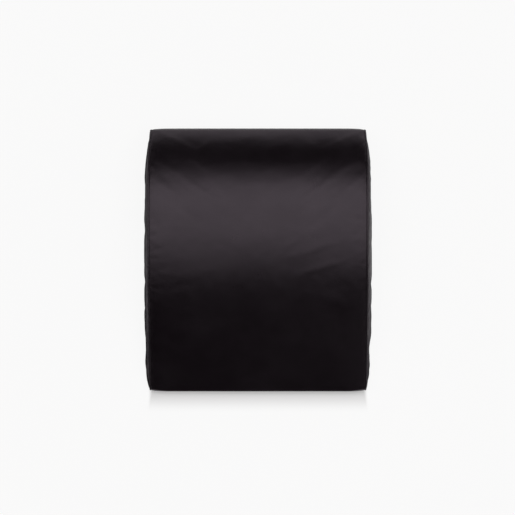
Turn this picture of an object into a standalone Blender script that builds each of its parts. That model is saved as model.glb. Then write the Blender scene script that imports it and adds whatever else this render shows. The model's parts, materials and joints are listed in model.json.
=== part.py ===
"""Arched abdominal exercise mat: a tapering foam block in a sewn cover with a zip.

The mat lies on its base. +X is its right side, +Y runs to the thick rear end, +Z is up.
The origin is on the floor, under the middle of the base.
"""
import math

import bmesh
import bpy

# Outline of the mat, metres
MAT_LENGTH = 0.370
SEAM_WIDTH = 0.3056
PEAK_HEIGHT = 0.070
PEAK_FROM_REAR = 0.137
TAPER_RUN = 0.113
FRONT_HEIGHT = 0.016
REAR_HEIGHT = 0.031
FRONT_EDGE_RADIUS = 0.0056
REAR_EDGE_RADIUS = 0.010
REAR_RECESS = 0.0032
RECESS_LEAD = 0.0008
FALL_EXPONENT = 3

# Stuffed shape of the cover
CROWN = 0.0030
EDGE_ROLL = 0.0022
ROLL_EXPONENT = 24
SIDE_BULGE = 0.0058
BULGE_FRONT_RUN = 0.060
BULGE_REAR_RUN = 0.081
BULGE_REAR_EXPONENT = 1.4
REAR_TUCK = 0.0024
REAR_TUCK_RUN = 0.060
FRONT_TUCK = 0.0008
FRONT_TUCK_RUN = 0.030

# Sheet goods and sewing
VINYL = 0.0014
BASE_VINYL = 0.0016
FIT_GAP = 0.0003
PIPING_RADIUS = 0.0017
SEAM_TURN = 0.0015

# Zip chain, closed end at +X
END_TAB_LENGTH = 0.0190
CHAIN_WIDTH = 0.0056
CHAIN_THICKNESS = 0.0024
BEAD_WIDTH = 0.0010
TOOTH_LENGTH = 0.0026
TOOTH_WIDTH = 0.0013
TAPE_THICKNESS = 0.0006
TAPE_WIDTH = 0.0070
TAPE_TAIL = 0.0030
STOP_LENGTH = 0.0040
STOP_THICKNESS = 0.0028

# Slider and pull tab
SLIDER_LENGTH = 0.0096
SLIDER_PLATE = 0.0009
SLIDER_FLANGE = 0.0007
SLIDER_BEVEL = 0.0003
WEDGE_LENGTH = 0.0034
WEDGE_WIDTH = 0.0024
CROWN_SPAN = 0.0070
CROWN_BAR = 0.0010
CROWN_WIDTH = 0.0022
TAB_THICKNESS = 0.0012
TAB_ARM = 0.0011
TAB_LENGTH = 0.0220
TAB_END_WIDTH = 0.0072
OPENING_CLEARANCE = 0.0004
OVERRUN = 0.0002

# Counts of facets
ARC_STEPS = 4
TAPER_STEPS = 7
BOW_STEPS = 8
FALL_STEPS = 11
CROSS_STEPS = 14
SIDE_STEPS = 6
RECESS_STEPS = 5
CORNER_STEPS = 3
BASE_STEPS = 16
TAB_END_STEPS = 8

# Positions that follow from the sizes
HALF_LENGTH = MAT_LENGTH / 2
HALF_SEAM = SEAM_WIDTH / 2
PEAK_Y = HALF_LENGTH - PEAK_FROM_REAR
FRONT_RUN = MAT_LENGTH - PEAK_FROM_REAR
BOW_RUN = FRONT_RUN - TAPER_RUN
TAPER_SLOPE = (PEAK_HEIGHT - FRONT_HEIGHT) / (TAPER_RUN + BOW_RUN / 2)
TAPER_ANGLE = math.atan(TAPER_SLOPE)
PIPING_REACH = PIPING_RADIUS + FIT_GAP
PIPING_X = HALF_SEAM - VINYL / 2
PIPING_BASE_Z = PIPING_REACH
PANEL_HALF = PIPING_X - PIPING_REACH
SIDE_DEPTH = VINYL / 2 + PIPING_REACH
SIDE_HALF_LENGTH = HALF_LENGTH - EDGE_ROLL - SIDE_DEPTH
SIDE_BASE_Z = PIPING_BASE_Z + PIPING_REACH
CORE_BASE_Z = BASE_VINYL + FIT_GAP
SKIN_DEPTH = VINYL + FIT_GAP
TAPE_DEPTH = SKIN_DEPTH + TAPE_THICKNESS / 2
REAR_FACE_Y = HALF_LENGTH - REAR_RECESS
CHAIN_Y = REAR_FACE_Y - TAPE_DEPTH
PLATE_INNER = CHAIN_THICKNESS / 2 + FIT_GAP
PLATE_OUTER = PLATE_INNER + SLIDER_PLATE
SLIDER_HALF_WIDTH = CHAIN_WIDTH / 2 + FIT_GAP + SLIDER_FLANGE
OPENING_HALF = SLIDER_HALF_WIDTH + OPENING_CLEARANCE
REAR_PANEL_HALF = PANEL_HALF - REAR_TUCK
END_TAB_X = REAR_PANEL_HALF - END_TAB_LENGTH
CHAIN_END_X = END_TAB_X - FIT_GAP - STOP_LENGTH
CORE_REAR_Y = CHAIN_Y - PLATE_OUTER - FIT_GAP


def front_arc_centre():
    """Centre of the front edge's rounding, tangent to the end face and to the taper."""
    lift = TAPER_SLOPE * FRONT_EDGE_RADIUS - FRONT_EDGE_RADIUS / math.cos(TAPER_ANGLE)
    return FRONT_EDGE_RADIUS - HALF_LENGTH, FRONT_HEIGHT + lift


def fall_height(y):
    """Height of the rear fall at y, before the rear edge rounds over."""
    run_share = (y - PEAK_Y) / PEAK_FROM_REAR
    return PEAK_HEIGHT - (PEAK_HEIGHT - REAR_HEIGHT) * run_share**FALL_EXPONENT


def fall_angle(y):
    """Angle of the rear fall at y, from level."""
    run_share = (y - PEAK_Y) / PEAK_FROM_REAR
    steepness = FALL_EXPONENT * (PEAK_HEIGHT - REAR_HEIGHT) / PEAK_FROM_REAR
    return math.atan(steepness * run_share ** (FALL_EXPONENT - 1))


def fall_end():
    """Where the rear fall meets the rounding of the rear edge, by halving the span."""
    near, far = PEAK_Y, HALF_LENGTH
    for _ in range(40):
        middle = (near + far) / 2
        reach = middle + REAR_EDGE_RADIUS * (1 - math.sin(fall_angle(middle)))
        near, far = (middle, far) if reach < HALF_LENGTH else (near, middle)
    return near


def arc(centre_y, centre_z, radius, first, last):
    """Stations round an arc, by the tilt of the outward normal towards the rear."""
    stations = []
    for step in range(ARC_STEPS + 1):
        tilt = first + (last - first) * step / ARC_STEPS
        sine, cosine = math.sin(tilt), math.cos(tilt)
        stations.append((centre_y + radius * sine, centre_z + radius * cosine, sine, cosine))
    return stations


def between(first, last, steps):
    """Values strictly between two ends, evenly spaced."""
    return [first + (last - first) * step / steps for step in range(1, steps)]


def skin_stations():
    """Stations (y, z, normal y, normal z) of the outer skin over the mat, front to rear."""
    centre_y, centre_z = front_arc_centre()
    stations = arc(centre_y, centre_z, FRONT_EDGE_RADIUS, -math.pi / 2, -TAPER_ANGLE)
    taper_end = TAPER_RUN - HALF_LENGTH
    for y in [*between(stations[-1][0], taper_end, TAPER_STEPS), taper_end]:
        height = FRONT_HEIGHT + TAPER_SLOPE * (y + HALF_LENGTH)
        stations.append((y, height, -math.sin(TAPER_ANGLE), math.cos(TAPER_ANGLE)))
    for y in [*between(taper_end, PEAK_Y, BOW_STEPS), PEAK_Y]:
        run = PEAK_Y - y
        angle = math.atan(TAPER_SLOPE * run / BOW_RUN)
        height = PEAK_HEIGHT - TAPER_SLOPE * run * run / BOW_RUN / 2
        stations.append((y, height, -math.sin(angle), math.cos(angle)))
    last_y = fall_end()
    for y in between(PEAK_Y, last_y, FALL_STEPS):
        angle = fall_angle(y)
        stations.append((y, fall_height(y), math.sin(angle), math.cos(angle)))
    angle = fall_angle(last_y)
    rear_z = fall_height(last_y) - REAR_EDGE_RADIUS * math.cos(angle)
    stations += arc(HALF_LENGTH - REAR_EDGE_RADIUS, rear_z, REAR_EDGE_RADIUS, angle, math.pi / 2)
    return stations


SKIN = skin_stations()
FRONT_SEAM_Z = SKIN[0][1] - SEAM_TURN
REAR_SEAM_Z = SKIN[-1][1] - SEAM_TURN
CHAIN_Z = (CORE_BASE_Z + REAR_SEAM_Z) / 2
SLIDER_X = CHAIN_END_X - FIT_GAP - SLIDER_LENGTH / 2
WEDGE_FRONT_X = CHAIN_END_X - FIT_GAP - SLIDER_BEVEL
TEETH_END_X = WEDGE_FRONT_X - WEDGE_LENGTH - FIT_GAP
TAB_AXIS_Y = PLATE_OUTER + FIT_GAP + TAB_THICKNESS / 2
CROWN_TOP_Y = TAB_AXIS_Y + TAB_THICKNESS / 2 + FIT_GAP + CROWN_BAR
HOLE_HALF_WIDTH = CROWN_WIDTH / 2 + FIT_GAP
CROWN_SWEEP = math.hypot(CROWN_SPAN / 2, CROWN_TOP_Y - TAB_AXIS_Y)
HOLE_END = CROWN_SWEEP + FIT_GAP


def roll(x):
    """How far the stuffed skin turns in near its side seams."""
    return EDGE_ROLL * (abs(x) / HALF_SEAM) ** ROLL_EXPONENT


def tuck(y):
    """How far the side seams draw in at y, towards the mat's corners."""
    rear_share = max(0, 1 - (HALF_LENGTH - y) / REAR_TUCK_RUN)
    front_share = max(0, 1 - (HALF_LENGTH + y) / FRONT_TUCK_RUN)
    return REAR_TUCK * rear_share**2 + FRONT_TUCK * front_share**2


def drawn_in(x, y):
    """Place across a panel at y, once its edges are drawn in to the side seams."""
    return x * (1 - tuck(y) / PANEL_HALF)


def skin_point(station, x, depth):
    """Point at x on the skin, sunk below its outer face by depth."""
    y, z, normal_y, normal_z = station
    crown = CROWN * (x / HALF_SEAM) ** 2 * z / PEAK_HEIGHT * normal_z
    sink = crown + roll(x) + depth
    return drawn_in(x, y), y - normal_y * sink, z - normal_z * sink


def cross_columns(low, high, steps):
    """Places across the mat, closer together towards both edges."""
    middle, half = (low + high) / 2, (high - low) / 2
    return [middle - half * math.cos(math.pi * step / steps) for step in range(steps + 1)]


def bulge(y, height_share):
    """Side panel's bulge beyond its seam, at y and at a share of its height."""
    from_front = min(1, max(0, (SIDE_HALF_LENGTH + y) / BULGE_FRONT_RUN))
    from_rear = min(1, max(0, (SIDE_HALF_LENGTH - y) / BULGE_REAR_RUN))
    front_share = math.sqrt(1 - (1 - from_front) ** 2)
    rear_share = math.sin(math.pi / 2 * from_rear) ** BULGE_REAR_EXPONENT
    return SIDE_BULGE * front_share * rear_share * math.sin(math.pi * height_share)


def make_material(name, colour, roughness, metallic=0.0):
    """Plain shader material."""
    material = bpy.data.materials.new(name)
    material.use_nodes = True
    shader = material.node_tree.nodes["Principled BSDF"]
    shader.inputs["Base Color"].default_value = (*colour, 1)
    shader.inputs["Roughness"].default_value = roughness
    shader.inputs["Metallic"].default_value = metallic
    return material


def add_object(name, data, material):
    """Put mesh or curve data into the scene under the piece's name."""
    made = bpy.data.objects.new(name, data)
    data.materials.append(material)
    bpy.context.scene.collection.objects.link(made)
    return made


def mesh_object(name, shape, material, sharp_degrees=40):
    """Turn a bmesh into a named object, smooth where its faces meet gently."""
    mesh = bpy.data.meshes.new(name)
    shape.to_mesh(mesh)
    shape.free()
    mesh.shade_smooth()
    mesh.set_sharp_from_angle(angle=math.radians(sharp_degrees))
    return add_object(name, mesh, material)


def sheet(name, rows, thickness, material):
    """Sewn panel: a grid of outer points, thickened inwards."""
    shape = bmesh.new()
    grid = [[shape.verts.new(point) for point in row] for row in rows]
    for near, far in zip(grid, grid[1:]):
        for corners in zip(near, near[1:], far[1:], far):
            shape.faces.new(corners)
    made = mesh_object(name, shape, material)
    solid = made.modifiers.new("thickness", "SOLIDIFY")
    solid.thickness = thickness
    solid.offset = -1
    return made


def block(name, low, high, material, origin=(0, 0, 0)):
    """Box between two corners that are measured from its origin."""
    shape = bmesh.new()
    bmesh.ops.create_cube(shape, size=1)
    for vertex in shape.verts:
        for axis in range(3):
            middle = (low[axis] + high[axis]) / 2
            vertex.co[axis] = middle + vertex.co[axis] * (high[axis] - low[axis])
    made = mesh_object(name, shape, material)
    made.location = origin
    return made


def prism(name, outline, low, high, material, origin=(0, 0, 0)):
    """Outline in X and Y, drawn up from low to high along Z."""
    shape = bmesh.new()
    face = shape.faces.new([shape.verts.new((x, y, low)) for x, y in outline])
    grown = bmesh.ops.extrude_face_region(shape, geom=[face])["geom"]
    tops = [part for part in grown if isinstance(part, bmesh.types.BMVert)]
    bmesh.ops.translate(shape, verts=tops, vec=(0, 0, high - low))
    bmesh.ops.recalc_face_normals(shape, faces=shape.faces)
    made = mesh_object(name, shape, material)
    made.location = origin
    return made


def combine(target, other, operation):
    """Union with or cut by another object, which then stays as a hidden guide."""
    other.hide_render = True
    other.display_type = "WIRE"
    step = target.modifiers.new(other.name, "BOOLEAN")
    step.operation = operation
    step.object = other
    step.solver = "EXACT"


def height_at(line, y):
    """Height of a polyline of (x, y, z) points at y, held level past its ends."""
    for near, far in zip(line, line[1:]):
        if y <= far[1]:
            share = max(0, (y - near[1]) / (far[1] - near[1]))
            return near[2] + (far[2] - near[2]) * share
    return line[-1][2]


def build_core(material):
    """Foam block that fills the cover, flat at both ends."""
    columns = cross_columns(-PANEL_HALF, PANEL_HALF, CROSS_STEPS)
    lines = [[skin_point(station, x, SKIN_DEPTH) for station in SKIN] for x in columns]
    front_y = lines[0][0][1]
    middle_line = lines[CROSS_STEPS // 2]
    side_line = [skin_point(station, HALF_SEAM, SIDE_DEPTH) for station in SKIN]
    inner = [point[1] for point in middle_line if front_y < point[1] < CORE_REAR_Y]
    shape = bmesh.new()
    rings = []
    for y in [front_y, *inner, CORE_REAR_Y]:
        heights = [height_at(line, y) for line in lines]
        side_height = height_at(side_line, y) - SIDE_BASE_Z
        edge = drawn_in(PANEL_HALF, y)
        sides = [(edge, CORE_BASE_Z)]
        for step in range(1, SIDE_STEPS):
            share = step / SIDE_STEPS
            sides.append((edge + bulge(y, share), SIDE_BASE_Z + side_height * share))
        ring = [(-x, y, z) for x, z in sides]
        ring += [(drawn_in(x, y), y, z) for x, z in zip(columns, heights)]
        ring += [(x, y, z) for x, z in reversed(sides)]
        rings.append([shape.verts.new(point) for point in ring])
    for near, far in zip(rings, rings[1:]):
        for index, vertex in enumerate(near):
            after = (index + 1) % len(near)
            shape.faces.new((vertex, near[after], far[after], far[index]))
    shape.faces.new(rings[0])
    shape.faces.new(rings[-1])
    bmesh.ops.recalc_face_normals(shape, faces=shape.faces)
    mesh_object("foam_core", shape, material)


def face_row(y, z, columns):
    """Row of points across an end face, following the turned-in edges."""
    inward = -1 if y > 0 else 1
    return [(drawn_in(x, y), y + inward * roll(x), z) for x in columns]


def build_top_panel(material):
    """Panel from the front seam over the arch to the rear seam."""
    columns = cross_columns(-PANEL_HALF, PANEL_HALF, CROSS_STEPS)
    rows = [face_row(-HALF_LENGTH, FRONT_SEAM_Z + FIT_GAP / 2, columns)]
    rows += [[skin_point(station, x, 0) for x in columns] for station in SKIN]
    rows.append(face_row(HALF_LENGTH, REAR_SEAM_Z + FIT_GAP / 2, columns))
    sheet("top_panel", rows, VINYL, material)


def build_side_panel(name, side, material):
    """Bulging panel inside the piping of one side, side being 1 or -1."""
    rows = []
    for station in SKIN:
        _, y, top_z = skin_point(station, HALF_SEAM, SIDE_DEPTH)
        row = []
        for step in range(SIDE_STEPS + 1):
            share = step / SIDE_STEPS
            x = side * (HALF_SEAM - tuck(y) + bulge(y, share))
            row.append((x, y, SIDE_BASE_Z + (top_z - SIDE_BASE_Z) * share))
        rows.append(row[::-side])
    sheet(name, rows, VINYL, material)


def base_corner(y, side):
    """Piping's bend under one end, side being 1 at the rear and -1 at the front."""
    turns = [math.pi / 2 * step / CORNER_STEPS for step in range(CORNER_STEPS + 1)]
    centre_y = y - side * PIPING_REACH
    centre_z = PIPING_BASE_Z + PIPING_REACH
    path = []
    for turn in turns:
        out, down = math.cos(turn) * PIPING_REACH, math.sin(turn) * PIPING_REACH
        path.append((centre_y + side * out, centre_z - down))
    return path


def build_piping(name, side, material):
    """Welt cord round the whole outline of one side panel."""
    path = [skin_point(station, HALF_SEAM, VINYL / 2)[1:] for station in SKIN]
    front_y, rear_y = path[0][0], path[-1][0]
    rear_bend = base_corner(rear_y, 1)
    front_bend = base_corner(front_y, -1)[::-1]
    path += rear_bend
    base_ys = between(rear_bend[-1][0], front_bend[0][0], BASE_STEPS)
    path += [(y, PIPING_BASE_Z) for y in base_ys]
    path += front_bend
    curve = bpy.data.curves.new(name, "CURVE")
    curve.dimensions = "3D"
    curve.bevel_depth = PIPING_RADIUS
    curve.bevel_resolution = 2
    spline = curve.splines.new("POLY")
    spline.points.add(len(path) - 1)
    spline.use_cyclic_u = True
    for point, (y, z) in zip(spline.points, path):
        point.co = (side * (PIPING_X - tuck(y)), y, z, 1)
    add_object(name, curve, material)


def recess_line():
    """Places (y, z) down the upper strip, from the rear seam in to the zip's face."""
    top = REAR_SEAM_Z - FIT_GAP / 2
    start, end = top - RECESS_LEAD, CHAIN_Z + OPENING_HALF
    line = [(HALF_LENGTH, top)]
    for step in range(RECESS_STEPS + 1):
        share = step / RECESS_STEPS
        inward = REAR_RECESS * share * share * (3 - 2 * share)
        line.append((HALF_LENGTH - inward, start + (end - start) * share))
    return line


def build_end_panels(material):
    """Front end panel and the two strips that the zip is sewn to at the rear."""
    columns = cross_columns(-PANEL_HALF, PANEL_HALF, CROSS_STEPS)
    front = [CORE_BASE_Z, FRONT_SEAM_Z - FIT_GAP / 2]
    rows = [face_row(-HALF_LENGTH, z, columns) for z in front]
    sheet("front_end_panel", rows, VINYL, material)
    sheet("rear_upper_strip", [face_row(y, z, columns) for y, z in recess_line()], VINYL, material)
    lower = [CHAIN_Z - OPENING_HALF, CORE_BASE_Z]
    rows = [face_row(REAR_FACE_Y, z, columns) for z in lower]
    sheet("rear_lower_strip", rows, VINYL, material)


def build_end_tabs(material):
    """Covers over the two ends of the zip, between the strips."""
    heights = [CHAIN_Z + OPENING_HALF - FIT_GAP, CHAIN_Z - OPENING_HALF + FIT_GAP]
    inner_x = PANEL_HALF * END_TAB_X / REAR_PANEL_HALF
    left, right = (-PANEL_HALF, -inner_x), (inner_x, PANEL_HALF)
    for name, (low, high) in (("zip_end_tab_left", left), ("zip_end_tab_right", right)):
        columns = cross_columns(low, high, SIDE_STEPS)
        sheet(name, [face_row(REAR_FACE_Y, z, columns) for z in heights], VINYL, material)


def build_base(material):
    """Flat grippy panel that the mat stands on."""
    front, rear = EDGE_ROLL - HALF_LENGTH, REAR_FACE_Y
    rows = []
    for y in [front, *between(front, rear, BASE_STEPS), rear]:
        edge = drawn_in(PANEL_HALF, y)
        rows.append([(x, y, BASE_VINYL) for x in (-edge, edge)])
    sheet("base_panel", rows, BASE_VINYL, material)


def build_tapes(material):
    """Woven tapes behind the strips, outside the zip's beads."""
    near = CHAIN_WIDTH / 2 + FIT_GAP
    reach = CHAIN_END_X + STOP_LENGTH + TAPE_TAIL
    half = TAPE_THICKNESS / 2
    for name, side in (("zip_tape_upper", 1), ("zip_tape_lower", -1)):
        heights = sorted((side * near, side * (near + TAPE_WIDTH)))
        low = (-reach, -half, heights[0])
        high = (reach, half, heights[1])
        block(name, low, high, material, (0, CHAIN_Y, CHAIN_Z))


def build_teeth(name, side, material):
    """One row of the chain: a bead with its moulded teeth, side being 1 above, -1 below."""
    pitch = 2 * (TOOTH_WIDTH + FIT_GAP)
    outer, root = side * CHAIN_WIDTH / 2, side * (CHAIN_WIDTH / 2 - BEAD_WIDTH)
    tip = root - side * TOOTH_LENGTH
    first = FIT_GAP - CHAIN_END_X
    teeth_start = first + FIT_GAP + (pitch / 2 if side < 0 else 0)
    count = int((TEETH_END_X - teeth_start - TOOTH_WIDTH) / pitch) + 1
    lefts = [teeth_start + pitch * index for index in range(count)]
    edges = [first]
    for left in lefts:
        edges += [left, left + TOOTH_WIDTH]
    edges.append(CHAIN_END_X - FIT_GAP)
    shape = bmesh.new()
    outers = [shape.verts.new((x, -CHAIN_THICKNESS / 2, outer)) for x in edges]
    roots = [shape.verts.new((x, -CHAIN_THICKNESS / 2, root)) for x in edges]
    for corners in zip(outers, outers[1:], roots[1:], roots):
        shape.faces.new(corners)
    for index, left in enumerate(lefts):
        near, far = roots[2 * index + 1], roots[2 * index + 2]
        tips = [
            shape.verts.new((x, -CHAIN_THICKNESS / 2, tip)) for x in (left + TOOTH_WIDTH, left)
        ]
        shape.faces.new((near, far, *tips))
    grown = bmesh.ops.extrude_face_region(shape, geom=shape.faces[:])["geom"]
    backs = [part for part in grown if isinstance(part, bmesh.types.BMVert)]
    bmesh.ops.translate(shape, verts=backs, vec=(0, CHAIN_THICKNESS, 0))
    bmesh.ops.recalc_face_normals(shape, faces=shape.faces)
    made = mesh_object(name, shape, material)
    made.location = (0, CHAIN_Y, CHAIN_Z)


def build_stops(material):
    """Clips that end the slider's travel: one on each tape at the closed end, one at the other."""
    start, half, depth = CHAIN_END_X, CHAIN_WIDTH / 2, STOP_THICKNESS / 2
    end = start + STOP_LENGTH
    origin = (0, CHAIN_Y, CHAIN_Z)
    upper_low, upper_high = (start, -depth, FIT_GAP / 2), (end, depth, half)
    block("zip_top_stop_upper", upper_low, upper_high, material, origin)
    lower_low, lower_high = (start, -depth, -half), (end, depth, -FIT_GAP / 2)
    block("zip_top_stop_lower", lower_low, lower_high, material, origin)
    block("zip_bottom_stop", (-end, -depth, -half), (-start, depth, half), material, origin)


def build_slider(material):
    """Slider with two plates, side flanges, a wedge between the rows and a crown for the tab."""
    origin = (SLIDER_X, CHAIN_Y, CHAIN_Z)
    half_length = SLIDER_LENGTH / 2
    inner, outer, half = PLATE_INNER, PLATE_OUTER, SLIDER_HALF_WIDTH
    low, high = (-half_length, inner, -half), (half_length, outer, half)
    slider = block("zip_slider", low, high, material, origin)
    bevel = slider.modifiers.new("edges", "BEVEL")
    bevel.width = SLIDER_BEVEL
    bevel.segments = 1
    low, high = (-half_length, -outer, -half), (half_length, -inner, half)
    back = block("slider_back_plate", low, high, material, origin)

    # Flanges leave a slot for the tape between them
    slot = TAPE_THICKNESS / 2 + FIT_GAP
    reach = half_length - SLIDER_BEVEL
    flanges = []
    for plate, (near, far) in enumerate(((slot, inner + OVERRUN), (-inner - OVERRUN, -slot))):
        for side in (1, -1):
            across = sorted((side * (half - SLIDER_FLANGE), side * (half - OVERRUN)))
            low = (-reach, near, across[0])
            high = (reach, far, across[1])
            flanges.append(block(f"slider_flange_{plate}_{side}", low, high, material, origin))

    # Wedge that parts the rows, towards the stops
    front = WEDGE_FRONT_X - SLIDER_X
    middle = front - WEDGE_LENGTH / 2
    wide = WEDGE_WIDTH / 2
    wedge = prism(
        "slider_wedge",
        [(front - WEDGE_LENGTH, 0), (middle, -wide), (front, -wide), (front, wide), (middle, wide)],
        -inner - OVERRUN,
        inner + OVERRUN,
        material,
        origin,
    )
    wedge.rotation_euler = (math.pi / 2, 0, 0)

    # Crown that holds the pull tab
    span, top = CROWN_SPAN / 2, CROWN_TOP_Y
    under = top - CROWN_BAR
    foot = outer - OVERRUN
    outline = [
        (-span, foot),
        (CROWN_BAR - span, foot),
        (CROWN_BAR - span, under),
        (span - CROWN_BAR, under),
        (span - CROWN_BAR, foot),
        (span, foot),
        (span, top - CROWN_BAR / 2),
        (span - CROWN_BAR / 2, top),
        (CROWN_BAR / 2 - span, top),
        (-span, top - CROWN_BAR / 2),
    ]
    half_crown = CROWN_WIDTH / 2
    crown = prism("slider_crown", outline, -half_crown, half_crown, material, origin)
    for other in (crown, wedge, *flanges, back):
        combine(slider, other, "UNION")
    return slider


def build_tab(slider, material):
    """Pull tab whose end bar turns under the slider's crown."""
    half_thick = TAB_THICKNESS / 2
    head_half = HOLE_HALF_WIDTH + TAB_ARM
    end_half = TAB_END_WIDTH / 2
    centre = end_half - TAB_LENGTH
    outline = [(half_thick, -head_half), (half_thick, head_half), (-HOLE_END, head_half)]
    for step in range(TAB_END_STEPS + 1):
        turn = math.pi / 2 + math.pi * step / TAB_END_STEPS
        outline.append((centre + end_half * math.cos(turn), end_half * math.sin(turn)))
    outline.append((-HOLE_END, -head_half))
    tab = prism("zip_pull_tab", outline, -half_thick, half_thick, material)
    hole = block(
        "tab_hole",
        (-HOLE_END, -HOLE_HALF_WIDTH, -half_thick - OVERRUN),
        (-half_thick, HOLE_HALF_WIDTH, half_thick + OVERRUN),
        material,
    )
    combine(tab, hole, "DIFFERENCE")
    for made in (tab, hole):
        made.parent = slider
        made.location = (0, TAB_AXIS_Y, 0)
        made.rotation_euler = (-math.pi / 2, 0, 0)


def main():
    """Build every piece of the mat."""
    for old in list(bpy.data.objects):
        bpy.data.objects.remove(old)
    vinyl = make_material("black_vinyl", (0.012, 0.010, 0.012), 0.40)
    welt = make_material("welt_vinyl", (0.014, 0.012, 0.014), 0.36)
    grip = make_material("grip_base", (0.018, 0.018, 0.019), 0.75)
    foam = make_material("foam", (0.62, 0.60, 0.52), 0.95)
    tape = make_material("zip_tape", (0.015, 0.015, 0.016), 0.85)
    teeth = make_material("zip_plastic", (0.02, 0.02, 0.021), 0.35)
    enamel = make_material("slider_enamel", (0.022, 0.022, 0.024), 0.30, 0.6)
    build_core(foam)
    build_top_panel(vinyl)
    build_side_panel("side_panel_left", -1, vinyl)
    build_side_panel("side_panel_right", 1, vinyl)
    build_piping("piping_left", -1, welt)
    build_piping("piping_right", 1, welt)
    build_end_panels(vinyl)
    build_end_tabs(vinyl)
    build_base(grip)
    build_tapes(tape)
    build_teeth("zip_teeth_upper", 1, teeth)
    build_teeth("zip_teeth_lower", -1, teeth)
    build_stops(teeth)
    slider = build_slider(enamel)
    build_tab(slider, enamel)


main()
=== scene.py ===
"""Studio scene of an arched ab mat: a foam wedge in a piped vinyl cover that closes with a zip.

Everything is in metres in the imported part's frame: +X is the mat's right side, +Y runs to its
thick rear end, +Z is up, and the origin is on the floor under the middle of the base.
"""
import json
import logging
import math
from contextlib import contextmanager
from dataclasses import dataclass, replace
from enum import Enum
from functools import cached_property
from typing import Callable, Iterable, Iterator, NamedTuple, Sequence

import bmesh
import bpy
import numpy as np
from mathutils import Matrix, Vector, noise

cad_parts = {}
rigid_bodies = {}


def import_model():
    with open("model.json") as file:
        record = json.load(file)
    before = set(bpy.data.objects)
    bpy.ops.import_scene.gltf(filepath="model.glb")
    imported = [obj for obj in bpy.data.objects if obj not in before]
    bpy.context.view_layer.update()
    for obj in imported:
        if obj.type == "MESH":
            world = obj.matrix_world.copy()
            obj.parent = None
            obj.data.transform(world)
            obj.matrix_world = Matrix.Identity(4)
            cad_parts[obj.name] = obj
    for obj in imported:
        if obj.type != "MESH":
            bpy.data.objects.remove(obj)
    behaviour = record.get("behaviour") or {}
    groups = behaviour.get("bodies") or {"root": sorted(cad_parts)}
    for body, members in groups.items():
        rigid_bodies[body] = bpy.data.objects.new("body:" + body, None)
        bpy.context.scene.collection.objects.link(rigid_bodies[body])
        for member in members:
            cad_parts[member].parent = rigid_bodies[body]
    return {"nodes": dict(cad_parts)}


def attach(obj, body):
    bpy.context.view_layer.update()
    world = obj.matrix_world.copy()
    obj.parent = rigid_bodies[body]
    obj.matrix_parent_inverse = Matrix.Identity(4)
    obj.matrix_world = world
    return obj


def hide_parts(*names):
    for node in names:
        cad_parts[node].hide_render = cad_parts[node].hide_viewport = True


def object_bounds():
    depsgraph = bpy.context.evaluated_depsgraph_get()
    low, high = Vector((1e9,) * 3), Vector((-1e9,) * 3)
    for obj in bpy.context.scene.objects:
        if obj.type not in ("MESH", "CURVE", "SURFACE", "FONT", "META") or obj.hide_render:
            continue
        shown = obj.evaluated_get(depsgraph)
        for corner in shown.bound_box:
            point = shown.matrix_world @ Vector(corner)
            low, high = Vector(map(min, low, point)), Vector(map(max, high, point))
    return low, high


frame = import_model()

LOG = logging.getLogger("ab_mat")
CAD_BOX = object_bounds()
NEAR = 1e-5  # slack of a test on places
MERGED = 2e-6  # distance within which points become one
ALONG = 0.9  # least part of a unit direction that counts as along an axis
Colour = tuple[float, float, float]
Point = tuple[float, float, float]
Span = tuple[float, float]


class Body(Enum):
    """CAD bodies that pieces ride on."""

    MAT = "mat"
    SLIDER = "slider"
    TAB = "pull_tab"


class Named(Enum):
    """Choice whose own name is a word in the names of nodes and pieces."""

    @property
    def word(self) -> str:
        """Name in small letters, as it stands in them."""
        return self.name.lower()


class Side(Named):
    """Sides of the mat, by the sign of X."""

    LEFT = -1
    RIGHT = 1


class Row(Named):
    """Halves of the zip, by the sign of Z from the chain's middle."""

    UPPER = 1
    LOWER = -1


class Pick(Enum):
    """What is picked of a mesh, by Blender's names."""

    POINT = "VERT"
    EDGE = "EDGE"
    FACE = "FACE"


# Shader maths


class Signal:
    """One node's output, on which Python's operators add Math nodes."""

    def __init__(self, graph: "Graph", socket: bpy.types.NodeSocket) -> None:
        """Wrap a socket of a graph."""
        self.graph = graph
        self.socket = socket

    def maths(self, operation: str, *others: "Signal | float") -> "Signal":
        """Math node with this value in its first socket and the others after it."""
        values = dict(enumerate((self, *others)))
        return self.graph.add("ShaderNodeMath", {"operation": operation}, values)

    def __add__(self, other: "Signal | float") -> "Signal":
        """Sum."""
        return self.maths("ADD", other)

    __radd__ = __add__

    def __mul__(self, other: "Signal | float") -> "Signal":
        """Product."""
        return self.maths("MULTIPLY", other)

    __rmul__ = __mul__

    def __sub__(self, other: "Signal | float") -> "Signal":
        """Difference."""
        return self.maths("SUBTRACT", other)

    def __rsub__(self, other: float) -> "Signal":
        """Difference from a number."""
        return self.maths("MULTIPLY", -1.0).maths("ADD", other)

    def __pow__(self, other: "Signal | float") -> "Signal":
        """Power."""
        return self.maths("POWER", other)

    def sine(self) -> "Signal":
        """Sine."""
        return self.maths("SINE")

    def within(self, low: float, high: float) -> "Signal":
        """Smooth rise from 0 at low to 1 at high."""
        limits = {"Value": self, "From Min": low, "From Max": high}
        return self.graph.add("ShaderNodeMapRange", {"interpolation_type": "SMOOTHSTEP"}, limits)


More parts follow.
